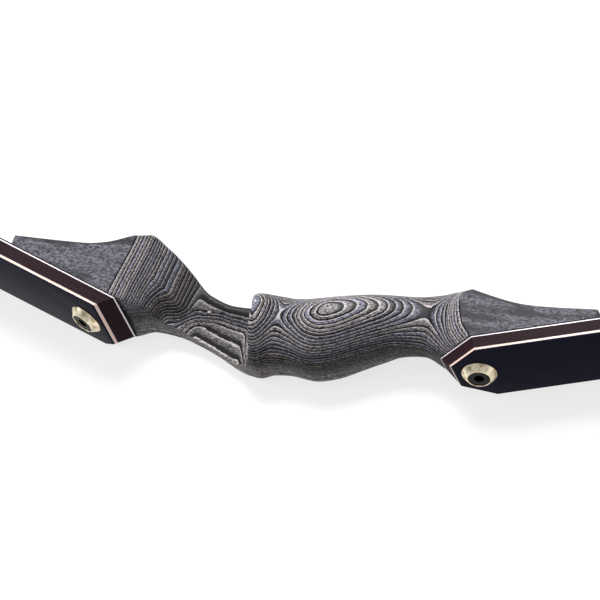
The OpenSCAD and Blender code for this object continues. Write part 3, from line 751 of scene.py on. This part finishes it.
def strip(name, top_of, under_of, half_width, along=places):
    """A closed strip from heights of its two faces and a half width, each a function of s."""
    rows = []
    for s in along:
        w, a, b = half_width(s), top_of(s), under_of(s)
        rows.append([(s, w, a), (s, -w, a), (s, -w, b), (s, w, b)])
    n = 4 * len(rows)
    return add_mesh(name, rows, skin(len(rows), 4) + [(3, 2, 1, 0), (n - 4, n - 3, n - 2, n - 1)])


def turned_block(x0, x1, y0, y1, z0, z1, origin, turns):
    """A box turned about each axis in order, and then moved: the shape of a saw cut."""
    place = Matrix.Translation(origin)
    for axis, degrees in turns:
        place = place @ Matrix.Rotation(math.radians(degrees), 4, axis)
    return block(rectangle(x0, x1, y0, y1), z0, z1, [list(row) for row in place])


print("a limb has", len(places), "places from", places[0], "to", places[-1], "mm")

# %% [markdown]
# ## Butts, grooves and eased edges
# The end of each butt leans, as it does in the picture. The lower butt has both its corners cut, and the
# upper one has a small cut on the side that the bow lies on. Sanding breaks every edge by a third of a
# millimetre, which a Bevel modifier does for all that are sharper than its angle. The blocks that stand
# for the saw only have to reach past the wood: their place and their turns shape the butt.

# %% Blanks
BUTT_END = 14.5
LEAN = {"upper": 38.6, "lower": 39.0}
CORNER_ANGLE, CORNER_FLAT, CORNER_LEAN, SMALL_CUT = 34.2, 19.4, 8.7, 4.4
GROOVE_R = 2.4
EASED, EASED_STEPS, EASED_ANGLE = 0.3, 3, 28


def limb_blank(limb):
    """The whole stack of one limb, straight, with its butt, tip and grooves cut and its edges eased."""
    blank = strip(f"{limb}_blank", overlay_at, lambda s: -depths(s)[5], width_at)
    cut(blank, turned_block(-60, 0, -40, 40, -70, 70, (-BUTT_END, 0, 0), [("Y", LEAN[limb])]))
    if limb == "lower":
        for m in (1, -1):
            y0, y1 = min(0, 50 * m), max(0, 50 * m)
            cut(blank, turned_block(-25, 70, y0, y1, -30, 30, (-BUTT_END, m * CORNER_FLAT / 2, 0),
                                    [("Z", m * CORNER_ANGLE), ("X", m * CORNER_LEAN)]))
    else:
        cut(blank, turned_block(-25, 25, -25, 0, -30, 30, (-BUTT_END, SMALL_CUT - BLANK_HALF, 0),
                                [("Y", LEAN[limb]), ("Z", -CORNER_ANGLE)]))
    groove_y = width_at(NOCK_S) + GROOVE_R / 4
    for m in (1, -1):
        cut(blank, block(circle(GROOVE_R, 48, NOCK_S, m * groove_y), -20, 20))
    bevel = blank.modifiers.new("eased_edges", "BEVEL")
    bevel.width = EASED * MM
    bevel.segments = EASED_STEPS
    bevel.limit_method = "ANGLE"
    bevel.angle_limit = math.radians(EASED_ANGLE)
    bevel.use_clamp_overlap = True
    return freeze(blank)


blanks = {limb: limb_blank(limb) for limb in ("upper", "lower")}
print("blanks", {limb: len(o.data.polygons) for limb, o in blanks.items()}, "faces")

# %% [markdown]
# ## Bending along the limb
# A limb runs straight from its bolt, bends gently through its working part and curls over into the recurve.
# Geometry Nodes bend it, in three steps. The first works out which way the limb heads at a row of points
# one millimetre apart: the pad's angle, less what each bend has taken off by then.

# %% Geometry Nodes: heading
STEP, START = 1.0, -34.0
PAST_TIP = 8


def row_and_heading(tree, given):
    """A straight row of points along the limb, and the limb's heading half a step past each of them."""
    row = add_node(tree, "GeometryNodeMeshLine", {
        "Count": int((TIP_S + PAST_TIP - START) / STEP), "Start Location": (START * MM, 0, 0),
        "Offset": (STEP * MM, 0, 0)}, mode="OFFSET", count_mode="TOTAL")
    here = add_node(tree, "ShaderNodeSeparateXYZ", {0: add_node(tree, "GeometryNodeInputPosition")}, out="X")
    s = add_node(tree, "ShaderNodeMath", {0: here, 1: STEP * MM / 2}, operation="ADD")
    work = add_node(tree, "ShaderNodeMapRange", {"Value": s, "From Min": given["Straight to"],
                    "From Max": given["Recurve from"], "To Max": given["Working bend"]})
    curl = add_node(tree, "ShaderNodeMapRange", {"Value": s, "From Min": given["Recurve from"],
                    "From Max": given["Curl ends"], "To Max": given["Recurve bend"]})
    heading = add_node(tree, "ShaderNodeMath", {0: given["Pad angle"], 1: work}, operation="SUBTRACT")
    return row, add_node(tree, "ShaderNodeMath", {0: heading, 1: curl}, operation="SUBTRACT")


headings = [math.degrees(a) for a in (PAD_ANGLE, PAD_ANGLE - WORK_BEND, PAD_ANGLE - WORK_BEND - RECURVE_BEND)]
print("heading at the bolt, the recurve and the tip", [round(a, 1) for a in headings], "degrees")

# %% [markdown]
# ## The limb's line
# A step in the direction the limb heads is its cosine along the bow and its sine across. Accumulate Field
# adds up the steps before each point, as walking does, and the sum is where that point lies. The row of
# points, moved there, becomes a curve.

# %% Geometry Nodes: line
def limb_line(tree, given):
    """The line of the limb's outer face, as a curve."""
    row, heading = row_and_heading(tree, given)
    stride = add_node(tree, "ShaderNodeCombineXYZ", {
        "X": add_node(tree, "ShaderNodeMath", {0: heading}, operation="COSINE"),
        "Y": add_node(tree, "ShaderNodeMath", {0: heading}, operation="SINE")})
    stride = add_node(tree, "ShaderNodeVectorMath", {0: stride, "Scale": STEP * MM}, operation="SCALE")
    walked = add_node(tree, "GeometryNodeAccumulateField", {"Value": stride}, out="Trailing",
                      data_type="FLOAT_VECTOR")
    cosine = add_node(tree, "ShaderNodeMath", {0: given["Pad angle"]}, operation="COSINE")
    sine = add_node(tree, "ShaderNodeMath", {0: given["Pad angle"]}, operation="SINE")
    first = add_node(tree, "ShaderNodeCombineXYZ", {
        "X": add_node(tree, "ShaderNodeMath", {0: cosine, 1: START * MM, 2: given["Bolt from middle"]},
                      operation="MULTIPLY_ADD"),
        "Y": add_node(tree, "ShaderNodeMath", {0: sine, 1: START * MM}, operation="MULTIPLY")})
    line = add_node(tree, "GeometryNodeSetPosition", {"Geometry": row, "Position": add_node(
        tree, "ShaderNodeVectorMath", {0: walked, 1: first}, operation="ADD")})
    return add_node(tree, "GeometryNodeMeshToCurve", {0: line})


print("steps along a limb", int((TIP_S + PAST_TIP - START) / STEP))

# %% [markdown]
# ## Moving a layer onto the line
# Every point of a straight layer moves to the place at its own distance along the line, then outwards by
# its height and sideways by its width. It keeps its straight place as an attribute, so that the grain of
# its wood can follow the bend.

# %% Geometry Nodes: move
def move_onto(tree, line, layer):
    """The layer with each of its points moved onto the line."""
    straight = add_node(tree, "GeometryNodeInputPosition")
    kept = add_node(tree, "GeometryNodeStoreNamedAttribute", {
        "Geometry": layer, "Name": "straight_place", "Value": straight},
        data_type="FLOAT_VECTOR", domain="POINT")
    xyz = [add_node(tree, "ShaderNodeSeparateXYZ", {0: straight}, out=i) for i in range(3)]
    from_start = add_node(tree, "ShaderNodeMath", {0: xyz[0], 1: START * MM}, operation="SUBTRACT")
    on_line = add_node(tree, "GeometryNodeSampleCurve", {"Curves": line, "Length": from_start},
                       out="Position", mode="LENGTH")
    tangent = pick(on_line.node.outputs, "Tangent")
    outward = add_node(tree, "ShaderNodeVectorMath", {0: tangent, 1: (0, 0, 1)}, operation="CROSS_PRODUCT")
    lifted = add_node(tree, "ShaderNodeVectorMath", {0: outward, "Scale": xyz[2]}, operation="SCALE")
    across = add_node(tree, "ShaderNodeCombineXYZ", {"Z": xyz[1]})
    moved = add_node(tree, "ShaderNodeVectorMath", {0: on_line, 1: lifted}, operation="ADD")
    moved = add_node(tree, "ShaderNodeVectorMath", {0: moved, 1: across}, operation="ADD")
    return add_node(tree, "GeometryNodeSetPosition", {"Geometry": kept, "Position": moved})


print("distances along the line are counted from", START, "mm")

# %% [markdown]
# ## The whole tree
# The tree has a named input for each size, so the same one bends all the layers. It ends by making its
# result real and giving it its finish. A modifier's inputs are set by their identifiers, before the piece
# is first worked out, and the result is frozen into a plain mesh.

# %% Geometry Nodes: bend
def bend_tree():
    """The tree that bends one straight layer, with a named input for each size."""
    tree = bpy.data.node_groups.new("bend_along_the_limb", "GeometryNodeTree")
    for name, kind in [("Layer", "Geometry"), ("Pad angle", "Float"), ("Working bend", "Float"),
                       ("Recurve bend", "Float"), ("Straight to", "Float"), ("Recurve from", "Float"),
                       ("Curl ends", "Float"), ("Bolt from middle", "Float"), ("Finish", "Material")]:
        tree.interface.new_socket(name, in_out="INPUT", socket_type=f"NodeSocket{kind}")
    tree.interface.new_socket("Bent layer", in_out="OUTPUT", socket_type="NodeSocketGeometry")
    given = tree.nodes.new("NodeGroupInput").outputs
    bent = move_onto(tree, limb_line(tree, given), given["Layer"])
    bent = add_node(tree, "GeometryNodeRealizeInstances", {"Geometry": bent})
    bent = add_node(tree, "GeometryNodeSetMaterial", {"Geometry": bent, "Material": given["Finish"]})
    add_node(tree, "NodeGroupOutput", {0: bent})
    return tree


def run_nodes(piece, tree, **values):
    """Gives a piece a node tree with named inputs, and freezes the result."""
    modifier = piece.modifiers.new(tree.name, "NODES")
    modifier.node_group = tree
    for item in tree.interface.items_tree:
        if item.in_out == "INPUT" and item.name in values:
            modifier[item.identifier] = values[item.name]
    return freeze(piece)


bend = bend_tree()
print("bend tree", len(bend.nodes), "nodes")

# %% [markdown]
# ## Limb materials
# Bowyer's glass is uniaxial: straight glass rovings in black resin, glossy, with a faint streak along the
# limb. The core is dyed hardwood, dark brown with long pores. The two veneers show only as lines a
# millimetre high on the edge. All their patterns read the straight place kept above, in millimetres.

# %% Streaked finishes
def streaked(name, base, streak, stretch, amount, grain_bump, **surface):
    """A finish of one colour with streaks of another along the limb, each of a real size in millimetres."""
    material, tree, shader = new_material(name, **surface)
    place = add_node(tree, "ShaderNodeAttribute", out="Vector", attribute_name="straight_place")
    streaks = add_node(tree, "ShaderNodeTexNoise", {"Vector": in_mm(tree, stretch, place), "Scale": 1.0,
                       "Detail": 3.0, "Roughness": 0.6})
    spread = add_node(tree, "ShaderNodeMapRange", {"Value": streaks, "From Min": 0.35, "From Max": 0.7,
                      "To Max": amount})
    colour = add_node(tree, "ShaderNodeMix", {"Factor": spread, "A": linear(base), "B": linear(streak)},
                      out="Result", data_type="RGBA")
    tree.links.new(colour, shader.inputs["Base Color"])
    bump = add_node(tree, "ShaderNodeBump", {"Strength": grain_bump, "Distance": 0.0001, "Height": streaks})
    tree.links.new(bump, shader.inputs["Normal"])
    return material


# Bowyer's glass: straight rovings 0.6 mm apart in black resin, polished by its mould. The eye sees an even
# blue-black with faint streaks along the limb.
black_glass = streaked("black_uniaxial_fibreglass", "#10101d", "#1a1a2a", (60, 0.6, 0.6), 0.8, 0.04,
                       Roughness=0.35, Specular_IOR_Level=0.02)
# Hardwood dyed dark red-brown and sanded: a dull dark band with pores half a millimetre wide and two
# centimetres long.
core_wood = streaked("dyed_hardwood_core", "#1a0f13", "#2c1c22", (22, 0.5, 0.5), 0.9, 0.25,
                     Roughness=0.5, Specular_IOR_Level=0.03)
# Maple left undyed under clear resin: a warm pale line with a fine even grain.
cream_veneer = streaked("cream_maple_veneer", "#d9c0b6", "#b8978a", (18, 0.35, 0.35), 0.8, 0.1,
                        Roughness=0.35, Specular_IOR_Level=0.4)
# White pigmented glass: a clean bright line, faintly streaked by its rovings.
white_veneer = streaked("white_glass_veneer", "#dad4d4", "#b3aaac", (30, 0.4, 0.4), 0.7, 0.05,
                        Roughness=0.3, Specular_IOR_Level=0.4)
print("limb finishes", [m.name for m in (black_glass, core_wood, cream_veneer, white_veneer)])

# %% [markdown]
# ## Splitting the blank
# Each layer is a slab between two depths that keeps only what it shares with the eased blank. The slab
# of an outermost layer reaches past the face, so that no two faces ever coincide.

# %% Slabs
PAST, WIDER = 3.0, 30.0     # how far a slab reaches past a face, and half its width
LAYERS = [("tip_overlay", black_glass, "tip_overlay"), ("back_glass", black_glass, "black_glass"),
          ("cream_veneer", cream_veneer, "cream_veneer"), ("core", core_wood, "core_wood"),
          ("white_veneer", white_veneer, "white_veneer"), ("belly_glass", black_glass, "black_glass")]


def layer_slab(number):
    """A slab that holds one layer: 0 is the tip overlay, 1 the outer glass, 5 the belly glass."""
    if number == 0:
        along = [s for s in places if s >= OVERLAY_START]
        return strip("slab", lambda s: 2 * PAST, lambda s: 0.0, lambda s: WIDER, along[:-1] + [TIP_S + 5])

    def outer(s):
        if number == 1:
            return 0.0 if s >= OVERLAY_START else PAST
        return -depths(s)[number - 1]

    def inner(s):
        return -depths(s)[number] - (PAST if number == 5 else 0.0)
    return strip("slab", outer, inner, lambda s: WIDER, [places[0] - 5] + places[1:-1] + [TIP_S + 5])


print("layers from the outer face:", [row[0] for row in LAYERS])

# %% [markdown]
# ## Drill and bend
# A layer is drilled while it is straight: the bolt's hole, the washer's seat and the locating pin's hole.
# Then it is bent. The upper limb is the mirror image of the lower one.

# %% Layers
SPIGOT_H, SPIGOT_R, BOLT_R, GAP = 5.5, 8.2, 4.0, 0.3
THROUGH = 30                # how far a drill runs past the faces
holes = [(BOLT_R, -THROUGH, THROUGH, 0.0), (SPIGOT_R, -SPIGOT_H - END_GAP, THROUGH, 0.0),
         (PIN_R, -BUTT_T - 5, -BUTT_T + PIN_OUT + END_GAP, PIN_S)]
sizes = {"Pad angle": PAD_ANGLE, "Working bend": WORK_BEND, "Recurve bend": RECURVE_BEND,
         "Straight to": STRAIGHT_S * MM, "Recurve from": RECURVE_S * MM, "Curl ends": CURL_S * MM,
         "Bolt from middle": BOLT_X * MM}


def make_layer(limb, number):
    """One finished layer of a limb, riding with it in place of its node."""
    node, finish, slot = LAYERS[number]
    layer = blanks[limb].copy()
    layer.data = blanks[limb].data.copy()
    layer.name = f"{limb}_{node}_layer"
    scene.collection.objects.link(layer)
    cut(layer, layer_slab(number), "INTERSECT")
    if node != "tip_overlay":
        for radius, bottom, top_z, x in holes:
            cut(layer, block(circle(radius + GAP, x=x), bottom, top_z))
    run_nodes(layer, bend, Finish=finish, **sizes)
    if limb == "upper":
        layer.data.transform(Matrix.Scale(-1, 4, (1, 0, 0)))
        layer.data.flip_normals()
    smooth(layer, 40)
    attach(layer, f"{limb}_limb")
    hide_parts(f"{limb}_{node}")
    return layer


layers = {f"{limb}_{LAYERS[i][0]}": make_layer(limb, i) for limb in blanks for i in range(len(LAYERS))}
for blank in blanks.values():
    bpy.data.objects.remove(blank)
print("layers", {name: len(o.data.polygons) for name, o in layers.items()})

# %% [markdown]
# ## Turned parts
# The washer and the bolt come off a lathe, so each is a profile spun round an axis, with every corner
# broken by a small radius as a turner does.

# %% Rounded profiles
def rounded(profile, radius, steps=3, closed=True):
    """A profile with its corners rounded, each by no more than a third of its shorter side."""
    result = []
    n = len(profile)
    for i, here in enumerate(profile):
        if not closed and i in (0, n - 1):
            result.append(here)
            continue
        p, a, b = (np.array(profile[k], float) for k in (i, i - 1, (i + 1) % n))
        to_a, to_b = a - p, b - p
        la, lb = np.linalg.norm(to_a), np.linalg.norm(to_b)
        size = min(radius, la / 3, lb / 3)
        start, end = p + to_a / la * size, p + to_b / lb * size
        for t in np.linspace(0, 1, steps + 1):
            result.append(tuple((1 - t) ** 2 * start + 2 * t * (1 - t) * p + t * t * end))
    return result


print("a rounded square has", len(rounded([(0, 0), (1, 0), (1, 1), (0, 1)], 0.2)), "points")

# %% [markdown]
# ## The lathe
# Spinning the profile makes a ring of points from each of its points. A thread is a groove whose depth
# depends on the angle as well, so the spin takes a function for it. The place in the bolt's own frame is
# kept as an attribute, so that a finish can follow the tool marks, which are rings round the axis.

# %% Lathe
def lathe(name, profile, place, closed=True, groove=lambda angle, z: 0.0, sides=96):
    """Spins a profile of (radius, height) round Z. An open one starts and ends on the axis."""
    profile = profile if closed else profile[1:-1]
    turn = np.linspace(0, 2 * math.pi, sides, endpoint=False)
    spun = [(r - groove(a, z), a, z) for r, z in profile for a in turn]
    points = [(r * math.cos(a), r * math.sin(a), z) for r, a, z in spun]
    rows = len(profile)
    faces = skin(rows, sides)
    if closed:
        last = (rows - 1) * sides
        faces += [(last + j, last + (j + 1) % sides, (j + 1) % sides, j) for j in range(sides)]
    else:
        faces += [tuple(reversed(range(sides))), tuple(range((rows - 1) * sides, rows * sides))]
    return add_mesh(name, points, faces, place)


def keep_turned_place(piece, side_of):
    """Stores each point's place in the bolt's frame, in metres, for the finishes."""
    back_to_bolt = np.linalg.inv(np.array(at_bolt(side_of)))
    data = np.zeros(3 * len(piece.data.vertices))
    piece.data.vertices.foreach_get("co", data)
    own = (data.reshape(-1, 3) / MM) @ back_to_bolt[:3, :3].T + back_to_bolt[:3, 3]
    attribute = piece.data.attributes.new("turned_place", "FLOAT_VECTOR", "POINT")
    attribute.data.foreach_set("vector", (own * MM).ravel())


trial = lathe("trial", [(1, 0), (2, 0), (2, 1)], None)
print("a ring of three corners has", len(trial.data.polygons), "faces")
bpy.data.objects.remove(trial)

# %% [markdown]
# ## Brass and blackened steel
# The cone washers are turned brass under clear lacquer, pale and warm, with fine rings from the tool and a
# smudge of fingerprints. The bolts are alloy steel with black oxide, a thin oiled skin that reads as a
# satin near-black and wears to grey on its edges. Inserts and pins stay as measured, with finishes of
# their own.

# %% Metal finishes
def turned_metal(name, base, dull, ring_mm, ring_bump, smudge_mm, rough, **surface):
    """A turned metal: rings from the tool in its roughness and bump, and smudges that dull its colour."""
    material, tree, shader = new_material(name, **surface)
    own = add_node(tree, "ShaderNodeAttribute", out="Vector", attribute_name="turned_place")
    height_of = add_node(tree, "ShaderNodeSeparateXYZ", {0: own}, out="Z")
    flat_of = add_node(tree, "ShaderNodeVectorMath", {0: own, 1: (1, 1, 0)}, operation="MULTIPLY")
    radius = add_node(tree, "ShaderNodeVectorMath", {0: flat_of}, out="Value", operation="LENGTH")
    rings = add_node(tree, "ShaderNodeCombineXYZ", {"X": radius, "Y": height_of})
    rings = add_node(tree, "ShaderNodeTexNoise", {"Vector": in_mm(tree, (ring_mm,) * 3, rings), "Scale": 1.0,
                     "Detail": 2.0})
    smudge = add_node(tree, "ShaderNodeTexNoise", {"Vector": in_mm(tree, (smudge_mm,) * 3, own), "Scale": 1.0,
                      "Detail": 3.0})
    dulled = add_node(tree, "ShaderNodeMapRange", {"Value": smudge, "From Min": 0.45, "From Max": 0.7})
    colour = add_node(tree, "ShaderNodeMix", {"Factor": dulled, "A": linear(base), "B": linear(dull)},
                      out="Result", data_type="RGBA")
    tree.links.new(colour, shader.inputs["Base Color"])
    roughness = add_node(tree, "ShaderNodeMapRange", {"Value": rings, "From Min": 0.3, "From Max": 0.7,
                         "To Min": rough[0], "To Max": rough[1]})
    tree.links.new(roughness, shader.inputs["Roughness"])
    bump = add_node(tree, "ShaderNodeBump", {"Strength": ring_bump, "Distance": 0.00005, "Height": rings})
    tree.links.new(bump, shader.inputs["Normal"])
    return material


# Yellow brass turned at a fine feed, 0.25 mm rings, under lacquer that has hazed a little with handling.
brass = turned_metal("lacquered_turned_brass", "#ece0c6", "#9d8863", 0.25, 0.35, 3.2, (0.2, 0.34),
                     Metallic=1.0)
# Alloy steel with a black oxide skin, oiled: a thin dark mineral layer, so it isn't a bare metal to the eye.
black_oxide = turned_metal("black_oxide_steel", "#0a0a0c", "#1d1d20", 0.4, 0.3, 4.0, (0.36, 0.48),
                           Metallic=0.0, Specular_IOR_Level=0.16)
print("metals", brass.name, black_oxide.name)

# %% [markdown]
# ## The cone washer
# The washer is a cup: its spigot sits in the limb and its cone stands proud, with the bolt's head sunk in
# it. Its profile goes once round, from the bore down to the spigot's end, out to the cone and back in.

# %% Washer profile
HEAD_R, HEAD_H, HEAD_SUNK = 6.5, 8.0, 0.4
WASHER_R, RIM_R, WASHER_H, WASHER_EDGE = 11.0, 7.5, 4.4, 0.6
HEAD_Z = WASHER_H - HEAD_SUNK - HEAD_H
washer_profile = rounded([
    (BOLT_R + GAP, -SPIGOT_H), (SPIGOT_R, -SPIGOT_H), (SPIGOT_R, 0), (WASHER_R, 0), (WASHER_R, WASHER_EDGE),
    (RIM_R, WASHER_H), (HEAD_R + GAP, WASHER_H), (HEAD_R + GAP, HEAD_Z), (BOLT_R + GAP, HEAD_Z)], 0.25)
print("washer profile", len(washer_profile), "points, the head's underside at", round(HEAD_Z, 2), "mm")

# %% [markdown]
# ## The bolt and its thread
# The bolt is an M8 socket head bolt with a coarse thread: a groove that goes once round for each pitch along.
# It is right-handed and runs out under the head and at the tip. The shank has a row of points every eighth
# of a millimetre, close enough to carry the groove.

# %% Bolt profile and thread
SHANK_L, THREAD_R, PITCH, THREAD_DEPTH = 25.0, BOLT_R - 0.05, 1.25, 0.55
SOCKET_W, SOCKET_H = 6.0, 4.2
TIP_CHAMFER, HEAD_FILLET = 0.9, 0.25
TIP_Z, HEAD_TOP = HEAD_Z - SHANK_L, HEAD_Z + HEAD_H
shank_z = list(np.arange(TIP_Z + 1.0, HEAD_Z - 0.6, 0.125))
bolt_profile = [(0, TIP_Z), (THREAD_R - TIP_CHAMFER, TIP_Z), (THREAD_R, TIP_Z + TIP_CHAMFER)]
bolt_profile += [(THREAD_R, z) for z in shank_z]
bolt_profile += [(THREAD_R, HEAD_Z - 0.3), (THREAD_R + HEAD_FILLET, HEAD_Z)]
bolt_profile += rounded([(THREAD_R + 1, HEAD_Z), (HEAD_R, HEAD_Z), (HEAD_R, HEAD_TOP),
                         (SOCKET_W / 2 + 0.9, HEAD_TOP)], 0.5, closed=False) + [(0, HEAD_TOP)]


def thread_depth(angle, z):
    """Depth of a right-handed V thread that runs out under the head and at the tip."""
    if not shank_z[0] <= z <= shank_z[-1]:
        return 0.0
    ends = share_of(z, shank_z[0], shank_z[0] + 1.0) * share_of(shank_z[-1] - z, 3.0, 4.0)
    return THREAD_DEPTH * ends * abs(2 * ((z / PITCH - angle / (2 * math.pi)) % 1.0) - 1)


middle_z = float(np.mean(shank_z))
around = [thread_depth(a, middle_z) for a in np.linspace(0, 2 * math.pi, 96)]
print("thread from", round(min(around), 2), "to", round(max(around), 2), "mm deep round one turn")

# %% [markdown]
# ## Spinning the hardware
# Each limb gets a washer and a bolt. The socket is a hexagon six millimetres across its flats, cut with its
# corners just as the key needs. The upper bolt's frame is a mirror image of the lower one's, so its thread
# is turned the other way round first, and both come out right-handed.

# %% Washers and bolts
hardware = []
for limb, side_of in (("upper", -1), ("lower", 1)):
    place = at_bolt(side_of)
    washer = lathe(f"{limb}_cone_washer", washer_profile, place)
    bolt = lathe(f"{limb}_socket_bolt", bolt_profile, place, False, lambda a, z: thread_depth(side_of * a, z))
    hexagon = circle(SOCKET_W / 2 / math.cos(math.pi / 6), 6)
    cut(bolt, block(hexagon, HEAD_TOP - SOCKET_H, HEAD_TOP + 1, place))
    for piece, finish, body, node, slot in ((washer, brass, "washer", "bolt_washer", "brass"),
                                            (bolt, black_oxide, "bolt", "limb_bolt", "black_steel")):
        piece.data.materials.clear()
        piece.data.materials.append(finish)
        keep_turned_place(piece, side_of)
        smooth(piece, 38)
        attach(piece, f"{limb}_{body}")
        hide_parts(f"{limb}_{node}")
        hardware.append(piece)
print("hardware", {o.name: len(o.data.polygons) for o in hardware})

# %% [markdown]
# ## Inserts and pins
# The bolts screw into yellow brass inserts in the wood, and a pin of ground steel keeps each limb from
# turning. They could be spun again on the lathe, but they lie hidden between limb and wood, so they keep
# the measured shapes and are only given their finishes.

# %% Finishes of the measured pieces
# Free-machining brass, straight from the tool: bright yellow, with fine marks that are long in Z.
insert_brass, tree, shader = new_material("machined_insert_brass", Metallic=1.0, Roughness=0.3)
marks = add_node(tree, "ShaderNodeTexNoise", {"Vector": in_mm(tree, (0.3, 0.3, 4.0)), "Scale": 1.0,
                 "Detail": 2.0})
marks = add_node(tree, "ShaderNodeMix", {"Factor": marks, "A": linear("#c9a35c"), "B": linear("#a98445")},
                 out="Result", data_type="RGBA")
tree.links.new(marks, shader.inputs["Base Color"])
# Hardened dowel steel, ground: a cool bright grey with fine streaks 0.2 mm apart.
pin_steel, tree, shader = new_material("ground_dowel_steel", Metallic=1.0, Roughness=0.25)
marks = add_node(tree, "ShaderNodeTexNoise", {"Vector": in_mm(tree, (4.0, 0.2, 0.2)), "Scale": 1.0,
                 "Detail": 2.0})
marks = add_node(tree, "ShaderNodeMix", {"Factor": marks, "A": linear("#c4c6ca"), "B": linear("#94979c")},
                 out="Result", data_type="RGBA")
tree.links.new(marks, shader.inputs["Base Color"])
for node, finish in (("threaded_insert", insert_brass), ("locating_pin", pin_steel)):
    for limb in ("upper", "lower"):
        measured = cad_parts[f"{limb}_{node}"]
        for slot_of in measured.material_slots:
            slot_of.material = finish
        print(measured.name, "has", finish.name, "on", len(measured.data.polygons), "faces")
